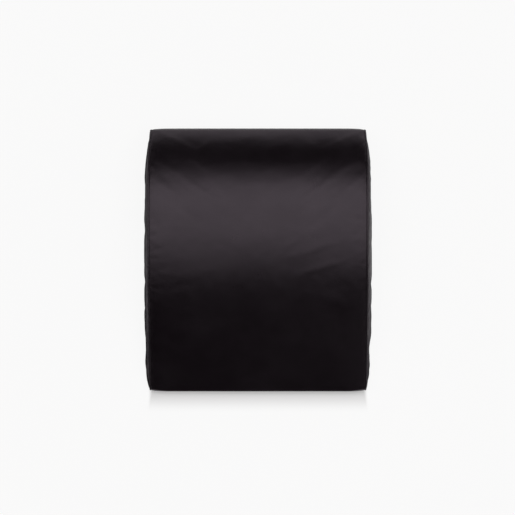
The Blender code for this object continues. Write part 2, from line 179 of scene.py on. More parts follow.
class Graph:
    """Node tree of a material or a world."""

    def __init__(self, tree: bpy.types.NodeTree) -> None:
        """Wrap a tree."""
        self.tree = tree

    def add(
        self,
        kind: str,
        settings: dict | None = None,
        inputs: dict | None = None,
        output: int | str = 0,
    ) -> Signal:
        """New node, its settings made before its sockets are filled.

        Args:
            kind: Node type.
            settings: Attributes of the node.
            inputs: Values or signals by the name or number of the input socket.
            output: Name or number of the output wanted.

        Returns:
            That output.
        """
        node = self.tree.nodes.new(kind)
        for name, value in (settings or {}).items():
            setattr(node, name, value)
        for name, value in (inputs or {}).items():
            self.feed(node.inputs[name], value)
        return Signal(self, node.outputs[output])

    def feed(self, socket: bpy.types.NodeSocket, value: "Signal | float | tuple") -> None:
        """Link a signal to a socket, or set the socket's own value.

        Args:
            socket: Input socket.
            value: Signal, number or tuple.
        """
        if isinstance(value, Signal):
            self.tree.links.new(value.socket, socket)
        else:
            socket.default_value = value

    def place(self) -> Signal:
        """Position on the object, in metres of the shared frame."""
        return self.add("ShaderNodeTexCoord", output="Object")

    def attribute(self, name: str) -> Signal:
        """Value that the piece's mesh carries under a name."""
        settings = {"attribute_type": "GEOMETRY", "attribute_name": name}
        return self.add("ShaderNodeAttribute", settings, output="Fac")

    def noise(
        self,
        size: float,
        detail: float = 2.0,
        roughness: float = 0.5,
        stretch: Point | None = None,
        turn: Point = (0.0, 0.0, 0.0),
    ) -> Signal:
        """Noise between 0 and 1.

        Args:
            size: Width of its patches in metres.
            detail: Octaves.
            roughness: Share that each finer octave keeps.
            stretch: Times that the patches are longer along each axis.
            turn: Turn of those axes, in radians.

        Returns:
            The noise value.
        """
        place = self.place()
        if stretch:
            scale = tuple(1 / times for times in stretch)
            mapped = {"Vector": place, "Rotation": turn, "Scale": scale}
            place = self.add("ShaderNodeMapping", None, mapped)
        inputs = {"Vector": place, "Scale": 1 / size, "Detail": detail, "Roughness": roughness}
        return self.add("ShaderNodeTexNoise", None, inputs)

    def cells(self, size: float, feature: str = "F1") -> Signal:
        """Voronoi distance in cell widths, over irregular cells of a size in metres."""
        inputs = {"Vector": self.place(), "Scale": 1 / size, "Randomness": 1.0}
        return self.add("ShaderNodeTexVoronoi", {"feature": feature}, inputs, "Distance")

    def axes(self) -> tuple[Signal, Signal, Signal]:
        """Position split into its three numbers, in metres.

        Returns:
            X, Y and Z.
        """
        split = self.add("ShaderNodeSeparateXYZ", None, {0: self.place()})
        outputs = split.socket.node.outputs
        return Signal(self, outputs[0]), Signal(self, outputs[1]), Signal(self, outputs[2])

    def blend(self, share: Signal, first: Colour, second: Colour) -> Signal:
        """Colour between two, first where the share is 0."""
        inputs = {0: share, 6: (*first, 1.0), 7: (*second, 1.0)}
        return self.add("ShaderNodeMix", {"data_type": "RGBA"}, inputs, 2)

    def relief(self, height: Signal, depth: float) -> Signal:
        """Bumped normal, on which a height of 1 stands for a depth in metres."""
        inputs = {"Strength": 1.0, "Distance": depth, "Height": height}
        return self.add("ShaderNodeBump", None, inputs)


@dataclass(frozen=True)
class Finish:
    """Surface finish of one material. Subclasses say what varies over the surface."""

    name: str
    slot: str
    colour: Colour
    roughness: float

    def varied(self, graph: Graph) -> dict[str, Signal]:
        """Signals of what varies over the surface, by the name of the shader's socket."""
        raise NotImplementedError

    def constants(self) -> dict[str, float | tuple]:
        """Shader sockets that are the same all over."""
        return {}

    def material(self) -> bpy.types.Material:
        """Make the finish's material the first time it is asked for.

        Returns:
            The material.
        """
        found = bpy.data.materials.get(self.name)
        if found:
            return found
        made = bpy.data.materials.new(self.name)
        made.use_nodes = True
        made.diffuse_color = (*self.colour, 1.0)
        graph = Graph(made.node_tree)
        shader = made.node_tree.nodes["Principled BSDF"]
        base = {"Base Color": (*self.colour, 1.0), "Roughness": self.roughness}
        for name, value in {**base, **self.constants(), **self.varied(graph)}.items():
            graph.feed(shader.inputs[name], value)
        return made


@dataclass(frozen=True)
class Vinyl(Finish):
    """Coated cover vinyl with a fine pressed grain, a little rubbed along its seams."""

    grain: float = 0.0009
    grain_depth: float = 0.000018
    cloud: float = 0.055
    speck: float = 0.0030
    rub: float = 0.006
    rubbed: Colour = (0.012, 0.009, 0.011)
    tint: Colour = (1.0, 0.84, 0.97)

    def constants(self) -> dict[str, float | tuple]:
        """Faint plum tint of the coating's gloss."""
        return {"Specular Tint": (*self.tint, 1.0)}

    def varied(self, graph: Graph) -> dict[str, Signal]:
        """Grain, cloudy gloss and rubbed seams.

        Args:
            graph: Nodes of the material.

        Returns:
            Signals by the shader's sockets.
        """
        pebbles = graph.cells(self.grain)
        creases = graph.cells(self.grain * 1.4, "DISTANCE_TO_EDGE").within(0.0, 0.30)
        pores = graph.noise(self.grain * 0.3, 3.0)
        cloud = graph.noise(self.cloud, 4.0, 0.6)
        speck = graph.noise(self.speck, 2.0)
        rub = graph.attribute("seam") * graph.noise(self.rub, 3.0, 0.6).within(0.35, 0.8)
        height = pebbles * -0.75 + creases * 0.4 + pores * 0.35
        gloss = self.roughness + (cloud - 0.5) * 0.16 + (speck - 0.5) * 0.07 + rub * 0.06
        return {
            "Base Color": graph.blend(rub * 0.55 + (cloud - 0.5) * 0.12, self.colour, self.rubbed),
            "Roughness": gloss,
            "Normal": graph.relief(height, self.grain_depth),
        }


@dataclass(frozen=True)
class GripVinyl(Finish):
    """Matt backing with rows of small raised dots inside a plain border, against sliding."""

    pitch: float = 0.0042
    dot_height: float = 0.00025
    weave: float = 0.0009
    dust: float = 0.030
    dusty: Colour = (0.030, 0.029, 0.029)

    def varied(self, graph: Graph) -> dict[str, Signal]:
        """Staggered dots on a fine woven ground.

        Args:
            graph: Nodes of the material.

        Returns:
            Signals by the shader's sockets.
        """
        across, along, _ = graph.axes()
        turn = 2 * math.pi / self.pitch
        waves = (across * turn).sine() * (along * turn).sine()
        dots = waves.within(0.42, 0.62) * (1.0 - graph.attribute("seam").within(0.3, 0.6))
        thread = 2 * math.pi / self.weave
        ground = ((across + along) * thread).sine() * ((across - along) * thread).sine()
        dust = graph.noise(self.dust, 4.0, 0.6)
        return {
            "Base Color": graph.blend(dust.within(0.35, 0.8), self.colour, self.dusty),
            "Roughness": self.roughness - dots * 0.22 + (dust - 0.5) * 0.1,
            "Normal": graph.relief(dots + ground * 0.05, self.dot_height),
        }


@dataclass(frozen=True)
class OpenFoam(Finish):
    """Pale polyurethane foam with open cells, a little yellowed in places."""

    cell: float = 0.0011
    cell_depth: float = 0.0003
    patch: float = 0.05
    aged: Colour = (0.55, 0.49, 0.34)

    def varied(self, graph: Graph) -> dict[str, Signal]:
        """Open cells and uneven ageing.

        Args:
            graph: Nodes of the material.

        Returns:
            Signals by the shader's sockets.
        """
        holes = graph.cells(self.cell).within(0.25, 0.6)
        age = graph.noise(self.patch, 3.0)
        return {
            "Base Color": graph.blend(age.within(0.3, 0.7), self.colour, self.aged),
            "Roughness": self.roughness + holes * 0.08,
            "Normal": graph.relief(1.0 - holes, self.cell_depth),
        }


@dataclass(frozen=True)
class WovenTape(Finish):
    """Zip tape in a fine herringbone weave."""

    thread: float = 0.00042
    band: float = 0.0021
    fuzz: float = 0.0007
    weave_depth: float = 0.00009
    worn: Colour = (0.030, 0.029, 0.031)

    def varied(self, graph: Graph) -> dict[str, Signal]:
        """Slanted threads that change direction from band to band.

        Args:
            graph: Nodes of the material.

        Returns:
            Signals by the shader's sockets.
        """
        along, _, across = graph.axes()
        stripe = (across * (math.pi / self.band)).sine().within(-0.15, 0.15)
        turn = 2 * math.pi / self.thread
        rising = ((along + across) * turn).sine()
        falling = ((along - across) * turn).sine()
        weave = (rising * stripe + falling * (1.0 - stripe)) * 0.5 + 0.5
        fuzz = graph.noise(self.fuzz, 3.0)
        return {
            "Base Color": graph.blend(weave * 0.7 + fuzz * 0.3, self.colour, self.worn),
            "Roughness": self.roughness + (fuzz - 0.5) * 0.2,
            "Normal": graph.relief(weave, self.weave_depth),
        }


@dataclass(frozen=True)
class MouldedPlastic(Finish):
    """Injection-moulded acetal with a faint flow texture and a fine spark texture."""

    spark: float = 0.00025
    spark_depth: float = 0.000012
    flow: float = 0.004
    dull: Colour = (0.030, 0.030, 0.032)

    def varied(self, graph: Graph) -> dict[str, Signal]:
        """Fine spark texture and dull patches.

        Args:
            graph: Nodes of the material.

        Returns:
            Signals by the shader's sockets.
        """
        spark = graph.noise(self.spark, 2.0)
        flow = graph.noise(self.flow, 3.0)
        return {
            "Base Color": graph.blend(flow.within(0.4, 0.7), self.colour, self.dull),
            "Roughness": self.roughness + (flow - 0.5) * 0.15 + (spark - 0.5) * 0.08,
            "Normal": graph.relief(spark, self.spark_depth),
        }


@dataclass(frozen=True)
class Enamel(Finish):
    """Baked enamel on die-cast zinc, with hair scratches and small chips."""

    metal: Colour = (0.32, 0.31, 0.30)
    hair: float = 0.00012
    hair_stretch: Point = (60.0, 1.0, 1.0)
    hair_turn: Point = (0.0, 0.35, 0.0)
    patch: float = 0.0011
    peel: float = 0.0006
    depth: float = 0.00003

    def varied(self, graph: Graph) -> dict[str, Signal]:
        """Orange peel, hair scratches and small chips down to the metal.

        Args:
            graph: Nodes of the material.

        Returns:
            Signals by the shader's sockets.
        """
        scratches = graph.noise(self.hair, 1.0, 0.5, self.hair_stretch, self.hair_turn)
        hair = scratches.within(0.70, 0.76)
        patch = graph.noise(self.patch, 4.0, 0.65)
        chips = patch.within(0.70, 0.74)
        peel = graph.noise(self.peel, 1.0)
        return {
            "Base Color": graph.blend(chips, self.colour, self.metal),
            "Metallic": chips,
            "Roughness": self.roughness + hair * 0.25 + chips * 0.1 + (patch - 0.5) * 0.12,
            "Normal": graph.relief(peel - hair * 0.4 - chips * 0.6, self.depth),
        }


@dataclass(frozen=True)
class Thread(Finish):
    """Bonded polyester sewing thread, twisted. Its twist is in radians a metre."""

    twist_along: float = 14000.0
    twist_across: float = 9000.0
    strand_depth: float = 0.00006
    lit: Colour = (0.045, 0.042, 0.046)

    def varied(self, graph: Graph) -> dict[str, Signal]:
        """Slanting strands of the twist.

        Args:
            graph: Nodes of the material.

        Returns:
            Signals by the shader's sockets.
        """
        along, _, across = graph.axes()
        strands = (along * self.twist_along + across * self.twist_across).sine() * 0.5 + 0.5
        return {
            "Base Color": graph.blend(strands, self.colour, self.lit),
            "Roughness": self.roughness + strands * 0.12,
            "Normal": graph.relief(strands, self.strand_depth),
        }


@dataclass(frozen=True)
class Finishes:
    """Every finish of the mat, by what it is on."""

    cover: Finish = Vinyl("cover_vinyl", "vinyl", (0.0019, 0.0006, 0.0014), 0.31)
    welt: Finish = Vinyl("welt_vinyl", "piping", (0.0026, 0.0015, 0.0021), 0.33, grain=0.0008)
    grip: Finish = GripVinyl("grip_backing", "grip_base", (0.018, 0.018, 0.019), 0.78)
    foam: Finish = OpenFoam("open_foam", "foam", (0.62, 0.60, 0.52), 0.90)
    tape: Finish = WovenTape("zip_tape_weave", "zip_tape", (0.010, 0.010, 0.011), 0.82)
    plastic: Finish = MouldedPlastic("moulded_acetal", "zip_plastic", (0.018, 0.018, 0.019), 0.34)
    enamel: Finish = Enamel("black_enamel", "slider_enamel", (0.016, 0.016, 0.018), 0.26)
    thread: Finish = Thread("bonded_thread", "vinyl", (0.012, 0.011, 0.013), 0.55)


# Form of the mat


class Station(NamedTuple):
    """Point of the skin's middle line and the outward normal there."""

    y: float
    z: float
    normal_y: float
    normal_z: float


def eased(share: np.ndarray) -> np.ndarray:
    """Smooth step of values from 0 to 1."""
    share = np.clip(share, 0, 1)
    return share * share * (3 - 2 * share)


@dataclass(frozen=True)
class MatForm:
    """Sizes of the stuffed cover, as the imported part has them, and the surfaces they give."""

    length: float = 0.370
    seam_width: float = 0.3056
    peak_height: float = 0.070
    peak_from_rear: float = 0.137
    taper_run: float = 0.113
    front_height: float = 0.016
    rear_height: float = 0.031
    front_radius: float = 0.0056
    rear_radius: float = 0.010
    fall_exponent: float = 3.0
    crown: float = 0.0030
    edge_roll: float = 0.0022
    roll_exponent: float = 24.0
    side_bulge: float = 0.0058
    bulge_front_run: float = 0.060
    bulge_rear_run: float = 0.081
    bulge_rear_exponent: float = 1.4
    rear_tuck: float = 0.0024
    rear_tuck_run: float = 0.060
    front_tuck: float = 0.0008
    front_tuck_run: float = 0.030
    vinyl: float = 0.0014
    base_vinyl: float = 0.0016
    fit_gap: float = 0.0003
    piping_radius: float = 0.0017
    seam_turn: float = 0.0015
    rear_recess: float = 0.0032
    recess_lead: float = 0.0008
    opening_half: float = 0.0042
    corner_spacing: float = 0.004
    fine_spacing: float = 0.002
    arc_steps: int = 8
    fine_arc_steps: int = 12
    halvings: int = 40

    @property
    def half_length(self) -> float:
        """Half of the mat's length."""
        return self.length / 2

    @property
    def half_seam(self) -> float:
        """Side seam's distance from the middle."""
        return self.seam_width / 2

    @property
    def piping_x(self) -> float:
        """Middle of the piping, from the mat's middle."""
        return self.half_seam - self.vinyl / 2

    @property
    def piping_reach(self) -> float:
        """Piping's radius with its gap."""
        return self.piping_radius + self.fit_gap

    @property
    def panel_half(self) -> float:
        """Half width of the panels between the two pipings."""
        return self.piping_x - self.piping_reach

    @property
    def side_depth(self) -> float:
        """Depth under the skin at which the side panels start."""
        return self.vinyl / 2 + self.piping_reach

    @property
    def side_half_length(self) -> float:
        """Half length of the side panels."""
        return self.half_length - self.edge_roll - self.side_depth

    @property
    def side_base_z(self) -> float:
        """Height of the side panels' lower edge."""
        return 2 * self.piping_reach

    @property
    def core_base_z(self) -> float:
        """Height of the foam's underside."""
        return self.base_vinyl + self.fit_gap

    @property
    def slope(self) -> float:
        """Slope of the straight taper."""
        bow_run = self.length - self.peak_from_rear - self.taper_run
        return (self.peak_height - self.front_height) / (self.taper_run + bow_run / 2)

    def fall(self, y: float) -> Span:
        """Rear fall of the crest.

        Args:
            y: Position along the mat.

        Returns:
            Height and downward angle there.
        """
        run_share = (y - self.half_length + self.peak_from_rear) / self.peak_from_rear
        drop = self.peak_height - self.rear_height
        angle = math.atan(
            self.fall_exponent * drop / self.peak_from_rear
            * run_share ** (self.fall_exponent - 1)
        )
        return self.peak_height - drop * run_share**self.fall_exponent, angle

    def fall_end(self) -> float:
        """Where the rear fall meets the rounding of the rear edge.

        Returns:
            Position along the mat.
        """
        near, far = self.half_length - self.peak_from_rear, self.half_length
        for _ in range(self.halvings):
            middle = (near + far) / 2
            reach = middle + self.rear_radius * (1 - math.sin(self.fall(middle)[1]))
            near, far = (middle, far) if reach < self.half_length else (near, middle)
        return near

    @cached_property
    def corners(self) -> tuple[Station, Station]:
        """First and last station of the skin, where the end seams are."""
        line = self.skin_line(self.corner_spacing)
        return line[0], line[-1]

    @property
    def front_seam_z(self) -> float:
        """Height of the seam under the front edge."""
        return self.corners[0].z - self.seam_turn

    @property
    def rear_seam_z(self) -> float:
        """Height of the seam under the rear edge."""
        return self.corners[1].z - self.seam_turn

    @property
    def rear_face_y(self) -> float:
        """Place of the face that the zip lies in."""
        return self.half_length - self.rear_recess

    @property
    def chain_z(self) -> float:
        """Height of the zip's middle."""
        return (self.core_base_z + self.rear_seam_z) / 2

    def strip_y(self, z: float) -> float:
        """Place of the upper strip's outer face at a height, over the recess of the zip.

        Args:
            z: Height.

        Returns:
            Position along the mat.
        """
        start = self.rear_seam_z - self.fit_gap / 2 - self.recess_lead
        end = self.chain_z + self.opening_half
        return self.half_length - self.rear_recess * eased((start - z) / (start - end))

    def skin_line(self, spacing: float, front_radius: float | None = None) -> list[Station]:
        """Stations over the mat from the front end face to the rear one.

        Args:
            spacing: Aimed distance between two stations.
            front_radius: Rounding of the front edge, where it isn't the form's own.

        Returns:
            The stations, front first, as many for any front radius.
        """
        radius = front_radius or self.front_radius
        angle = math.atan(self.slope)
        peak_y = self.half_length - self.peak_from_rear
        taper_end = self.taper_run - self.half_length
        bow_run = peak_y - taper_end
        lift = self.slope * radius - radius / math.cos(angle)
        centre = (radius - self.half_length, self.front_height + lift)
        line = self.arc(centre, radius, -math.pi / 2, -angle, spacing)
        count = round((self.taper_run - self.front_radius) / spacing)
        for y in np.linspace(line[-1].y, taper_end, count + 1)[1:]:
            height = self.front_height + self.slope * (y + self.half_length)
            line.append(Station(y, height, -math.sin(angle), math.cos(angle)))
        for y in self.steps(taper_end, peak_y, spacing):
            tilt = math.atan(self.slope * (peak_y - y) / bow_run)
            height = self.peak_height - self.slope * (peak_y - y) ** 2 / bow_run / 2
            line.append(Station(y, height, -math.sin(tilt), math.cos(tilt)))
        last_y = self.fall_end()
        for y in self.steps(peak_y, last_y, spacing)[:-1]:
            height, tilt = self.fall(y)
            line.append(Station(y, height, math.sin(tilt), math.cos(tilt)))
        height, tilt = self.fall(last_y)
        centre = (
            self.half_length - self.rear_radius, height - self.rear_radius * math.cos(tilt)
        )
        return line + self.arc(centre, self.rear_radius, tilt, math.pi / 2, spacing)

    @staticmethod
    def steps(first: float, last: float, spacing: float) -> list[float]:
        """Even steps after first, up to last itself."""
        count = max(2, round((last - first) / spacing))
        return [first + (last - first) * step / count for step in range(1, count + 1)]

    def arc(
        self, centre: Span, radius: float, first: float, last: float, spacing: float
    ) -> list[Station]:
        """Stations round an edge.

        Args:
            centre: Y and Z of the arc's centre.
            radius: Radius.
            first: Tilt of the first normal towards the rear.
            last: Tilt of the last one.
            spacing: Aimed distance between stations.

        Returns:
            The stations, both ends included.
        """
        count = self.arc_steps if spacing > self.fine_spacing else self.fine_arc_steps
        tilts = [first + (last - first) * step / count for step in range(count + 1)]
        return [
            Station(
                centre[0] + radius * math.sin(tilt), centre[1] + radius * math.cos(tilt),
                math.sin(tilt), math.cos(tilt),
            )
            for tilt in tilts
        ]

    def tuck(self, y: np.ndarray) -> np.ndarray:
        """How far the side seams draw in towards the ends.

        Args:
            y: Positions along the mat.

        Returns:
            Distance at each.
        """
        rear = np.clip(1 - (self.half_length - y) / self.rear_tuck_run, 0, None)
        front = np.clip(1 - (self.half_length + y) / self.front_tuck_run, 0, None)
        return self.rear_tuck * rear**2 + self.front_tuck * front**2

    def roll(self, x: np.ndarray) -> np.ndarray:
        """How far the skin turns in near its side seams, at each x."""
        return self.edge_roll * (np.abs(x) / self.half_seam) ** self.roll_exponent

    def skin(self, line: Sequence[Station], columns: np.ndarray, depth: float) -> np.ndarray:
        """Grid of points on the skin, sunk by a depth.

        Args:
            line: Stations, one for each row.
            columns: Places across the mat.
            depth: Depth below the outer face.

        Returns:
            Array of rows, columns and the three coordinates.
        """
        y, z, normal_y, normal_z = (np.array(part)[:, None] for part in zip(*line))
        x = np.asarray(columns)[None, :]
        crown = self.crown * (x / self.half_seam) ** 2 * z / self.peak_height * normal_z
        sink = crown + self.roll(x) + depth
        across = x * (1 - self.tuck(y) / self.panel_half)
        return np.stack([across + 0 * sink, y - normal_y * sink, z - normal_z * sink], axis=-1)

    def bulge(self, y: np.ndarray, share: np.ndarray, fullness: float) -> np.ndarray:
        """Side panel's bulge beyond its seam.

        Args:
            y: Positions along the mat.
            share: Shares of the panel's height.
            fullness: Power of the bow, fuller next to the seams where it is below 1.

        Returns:
            The bulge for each pair.
        """
        half = self.side_half_length
        front = np.clip((half + y) / self.bulge_front_run, 0, 1)
        rear = np.clip((half - y) / self.bulge_rear_run, 0, 1)
        rise = np.sqrt(1 - (1 - front) ** 2)
        along = rise * np.sin(math.pi / 2 * rear) ** self.bulge_rear_exponent
        return self.side_bulge * along * np.sin(math.pi * np.clip(share, 0, 1)) ** fullness


# Mesh helpers


def link(name: str, mesh: bpy.types.Mesh) -> bpy.types.Object:
    """Put a mesh into the scene.

    Args:
        name: Piece's name.
        mesh: Its mesh.

    Returns:
        The piece.
    """
    made = bpy.data.objects.new(name, mesh)
    bpy.context.scene.collection.objects.link(made)
    return made


def grid_quads(rows: int, columns: int, wrapped: bool = False) -> list[tuple[int, ...]]:
    """Faces between the points of a grid, row by row.

    Args:
        rows: Number of rows.
        columns: Number of columns.
        wrapped: Whether the last row and column join the first ones.

    Returns:
        Numbers of each face's four corners.
    """
    end = 0 if wrapped else 1
    return [
        (
            row * columns + column, row * columns + (column + 1) % columns,
            (row + 1) % rows * columns + (column + 1) % columns,
            (row + 1) % rows * columns + column,
        )
        for row in range(rows - end) for column in range(columns - end)
    ]


def mesh_piece(
    name: str, points: np.ndarray, faces: Sequence[tuple[int, ...]], closed: bool = True
) -> bpy.types.Object:
    """Put a piece of given points and faces into the scene.

    Args:
        name: Piece's name.
        points: Positions, their three numbers along the last axis.
        faces: Numbers of each face's corners.
        closed: Whether the faces close round a body, and are then all turned outwards.

    Returns:
        The piece.
    """
    mesh = bpy.data.meshes.new(name)
    mesh.from_pydata(points.reshape(-1, 3).tolist(), [], faces)
    mesh.update()
    if closed:
        shape = bmesh.new()
        shape.from_mesh(mesh)
        bmesh.ops.recalc_face_normals(shape, faces=shape.faces)
        shape.to_mesh(mesh)
        shape.free()
    return link(name, mesh)


def activate(piece: bpy.types.Object) -> None:
    """Select one object alone and make it the active one.

    Args:
        piece: That object.
    """
    bpy.ops.object.select_all(action="DESELECT")
    piece.select_set(True)
    bpy.context.view_layer.objects.active = piece


def apply_modifier(piece: bpy.types.Object, kind: str, **settings: object) -> None:
    """Add a modifier and apply it.

    Args:
        piece: Object that gets it.
        kind: Modifier type.
        settings: Its attributes.
    """
    activate(piece)
    step = piece.modifiers.new(kind.lower(), kind)
    for name, value in settings.items():
        setattr(step, name, value)
    bpy.ops.object.modifier_apply(modifier=step.name)


def smooth(piece: bpy.types.Object, degrees: float) -> None:
    """Shade a piece smooth except across edges sharper than an angle."""
    activate(piece)
    bpy.ops.object.shade_smooth_by_angle(angle=math.radians(degrees))


def points_of(piece: bpy.types.Object) -> np.ndarray:
    """Vertex positions of a piece.

    Args:
        piece: Mesh object.

    Returns:
        Array with one row for each vertex.
    """
    flat = np.empty(len(piece.data.vertices) * 3)
    piece.data.vertices.foreach_get("co", flat)
    return flat.reshape(-1, 3)


def set_points(piece: bpy.types.Object, points: np.ndarray) -> None:
    """Move a piece's vertices to an array of positions."""
    piece.data.vertices.foreach_set("co", np.asarray(points, dtype=float).ravel())
    piece.data.update()


def set_attribute(piece: bpy.types.Object, name: str, values: np.ndarray) -> None:
    """Store one number for each vertex under a name."""
    attribute = piece.data.attributes.new(name, "FLOAT", "POINT")
    attribute.data.foreach_set("value", np.asarray(values, dtype=np.float32).ravel())


def finish_piece(
    piece: bpy.types.Object, finish: Finish, body: Body, replaced: Iterable[str] = ()
) -> None:
    """Dress a finished piece and tie it to the frame.

    Args:
        piece: Mesh object in its place.
        finish: Its finish.
        body: CAD body that it rides on.
        replaced: CAD nodes that it stands for.
    """
    piece.data.materials.clear()
    piece.data.materials.append(finish.material())
    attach(piece, body.value)
    if replaced:
        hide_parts(*replaced)
    LOG.info("%s: %d faces on %s", piece.name, len(piece.data.polygons), body.value)


def box_piece(name: str, low: Sequence[float], high: Sequence[float]) -> bpy.types.Object:
    """Start a hard piece from a cube between two corners.

    Args:
        name: Object's name.
        low: Lowest corner.
        high: Highest corner.

    Returns:
        The cube, selected alone.
    """
    bpy.ops.object.select_all(action="DESELECT")
    middle = [(a + b) / 2 for a, b in zip(low, high)]
    bpy.ops.mesh.primitive_cube_add(size=1, location=middle)
    made = bpy.context.object
    made.name = name
    made.scale = [b - a for a, b in zip(low, high)]
    bpy.ops.object.transform_apply(location=True, rotation=True, scale=True)
    return made


@contextmanager
def editing(piece: bpy.types.Object) -> Iterator[None]:
    """Edit mode on one piece, left again at the end.

    Args:
        piece: Mesh object.
    """
    activate(piece)
    bpy.ops.object.mode_set(mode="EDIT")
    yield
    bpy.ops.object.mode_set(mode="OBJECT")


def cut_x(*places: float) -> None:
    """Cut the whole of the piece in edit mode square to X.

    Args:
        places: Places along X.
    """
    for place in places:
        bpy.ops.mesh.select_all(action="SELECT")
        bpy.ops.mesh.bisect(plane_co=(place, 0, 0), plane_no=(1, 0, 0))


def cut_z(*places: float) -> None:
    """Cut the whole of the piece in edit mode square to Z.

    Args:
        places: Places along Z.
    """
    for place in places:
        bpy.ops.mesh.select_all(action="SELECT")
        bpy.ops.mesh.bisect(plane_co=(0, 0, place), plane_no=(0, 0, 1))


def choose(
    piece: bpy.types.Object, what: Pick, test: Callable[[Vector, Vector], bool]
) -> None:
    """Select the vertices, edges or faces of a piece that pass a test.

    Args:
        piece: Object in edit mode.
        what: Points, edges or faces.
        test: Function of a part's middle and of its direction, an edge's run or else the normal.
    """
    bpy.ops.mesh.select_mode(type=what.value)
    bpy.ops.mesh.select_all(action="DESELECT")
    shape = bmesh.from_edit_mesh(piece.data)
    if what is Pick.POINT:
        for vertex in shape.verts:
            vertex.select = test(vertex.co, vertex.normal)
    elif what is Pick.EDGE:
        for edge in shape.edges:
            first, second = (vertex.co for vertex in edge.verts)
            edge.select_set(test((first + second) / 2, (second - first).normalized()))
    else:
        for face in shape.faces:
            face.select_set(test(face.calc_center_median(), face.normal))
    shape.select_flush_mode()
    bmesh.update_edit_mesh(piece.data)


def merge(distance: float) -> None:
    """Join the points of the piece in edit mode that lie within a distance."""
    bpy.ops.mesh.select_all(action="SELECT")
    bpy.ops.mesh.remove_doubles(threshold=distance)


def widen(share: Point, about: Point = (0.0, 0.0, 0.0)) -> None:
    """Scale what is selected in edit mode about a point."""
    bpy.ops.transform.resize(value=share, center_override=about)


def soften(piece: bpy.types.Object, width: float, segments: int = 2, degrees: float = 40.0) -> None:
    """Round a piece's sharp edges.

    Args:
        piece: Object.
        width: Width of the rounding.
        segments: Faces across it.
        degrees: Least angle of an edge that is rounded.
    """
    apply_modifier(
        piece, "BEVEL", width=width, segments=segments, limit_method="ANGLE",
        angle_limit=math.radians(degrees),
    )
    with editing(piece):
        merge(MERGED)


def shift(piece: bpy.types.Object, offset: Sequence[float]) -> None:
    """Move a piece's mesh, its object staying at the origin."""
    set_points(piece, points_of(piece) + np.asarray(offset))


def join(name: str, pieces: Sequence[bpy.types.Object]) -> bpy.types.Object:
    """Join objects into the first of them.

    Args:
        name: Name of the result.
        pieces: Mesh objects.

    Returns:
        The joined piece.
    """
    bpy.ops.object.select_all(action="DESELECT")
    for piece in pieces:
        piece.select_set(True)
    bpy.context.view_layer.objects.active = pieces[0]
    bpy.ops.object.join()
    pieces[0].name = name
    return pieces[0]


def repeat(name: str, pattern: bpy.types.Object, places: Sequence[Matrix]) -> bpy.types.Object:
    """Copy a small shape to many places as one mesh, and remove the pattern.

    Args:
        name: Name of the new object.
        pattern: Shape modelled about the origin.
        places: One transform for each copy.

    Returns:
        The object that holds all copies.
    """
    shape = bmesh.new()
    for place in places:
        start = len(shape.verts)
        shape.from_mesh(pattern.data)
        shape.verts.ensure_lookup_table()
        bmesh.ops.transform(shape, matrix=place, verts=shape.verts[start:])
    mesh = bpy.data.meshes.new(name)
    shape.to_mesh(mesh)
    shape.free()
    bpy.data.objects.remove(pattern)
    return link(name, mesh)


# Sewn panels


def grid_normals(grid: np.ndarray) -> np.ndarray:
    """Unit normals of a grid of points, from its rows and columns."""
    normals = np.cross(np.gradient(grid, axis=1), np.gradient(grid, axis=0))
    return normals / np.linalg.norm(normals, axis=-1, keepdims=True)


def border_runs(grid: np.ndarray) -> tuple[np.ndarray, np.ndarray]:
    """Distances along a grid's rows and columns.

    Args:
        grid: Points by row and column.

    Returns:
        Distance from the first row along each column, and from the first column along each row.
    """
    down = np.linalg.norm(np.diff(grid, axis=0), axis=-1)
    across = np.linalg.norm(np.diff(grid, axis=1), axis=-1)
    down = np.vstack([np.zeros((1, grid.shape[1])), np.cumsum(down, axis=0)])
    across = np.hstack([np.zeros((grid.shape[0], 1)), np.cumsum(across, axis=1)])
    return down, across


@dataclass(frozen=True)
class Puckers:
    """Small gathers that stitches pull into a seam."""

    seed: int
    depth: float = 0.00025
    pitch: Span = (0.009, 0.016)
    reach: Span = (0.006, 0.018)
    width: float = 0.0021
    slants: Span = (-0.5, 0.5)
    width_shares: Span = (0.7, 1.5)
    depth_shares: Span = (0.35, 1.0)
    deepest_share: float = 0.30

    def heights(self, along: np.ndarray, away: np.ndarray) -> np.ndarray:
        """Height of the gathers, mostly below zero.

        Args:
            along: Distances along the seam.
            away: Distances from it.

        Returns:
            Heights of the same shape.
        """
        rng = np.random.default_rng(self.seed)
        total = np.zeros_like(along)
        place = rng.uniform(*self.pitch) / 2
        while place < along.max():
            reach, slant = rng.uniform(*self.reach), rng.uniform(*self.slants)
            width = self.width * rng.uniform(*self.width_shares)
            depth = self.depth * rng.uniform(*self.depth_shares)
            offset = (along - place - slant * away) / (width * (1 + away / reach))
            deepest = reach * self.deepest_share
            fade = away / deepest * np.exp(1 - away / deepest)
            total -= depth * np.exp(-(offset**2)) * fade
            place += rng.uniform(*self.pitch)
        return total


@dataclass(frozen=True)
class Ridge:
    """Soft fold in the vinyl, over the foam."""

    x: float
    y: float
    degrees: float
    length: float
    width: float
    height: float

    def heights(self, x: np.ndarray, y: np.ndarray) -> np.ndarray:
        """Height of the fold.

        Args:
            x: Places across the mat.
            y: Positions along it.

        Returns:
            Height at each pair.
        """
        turn = math.radians(self.degrees)
        along = (x - self.x) * math.cos(turn) + (y - self.y) * math.sin(turn)
        across = (y - self.y) * math.cos(turn) - (x - self.x) * math.sin(turn)
        return self.height * np.exp(-((along / self.length) ** 2) - (across / self.width) ** 2)


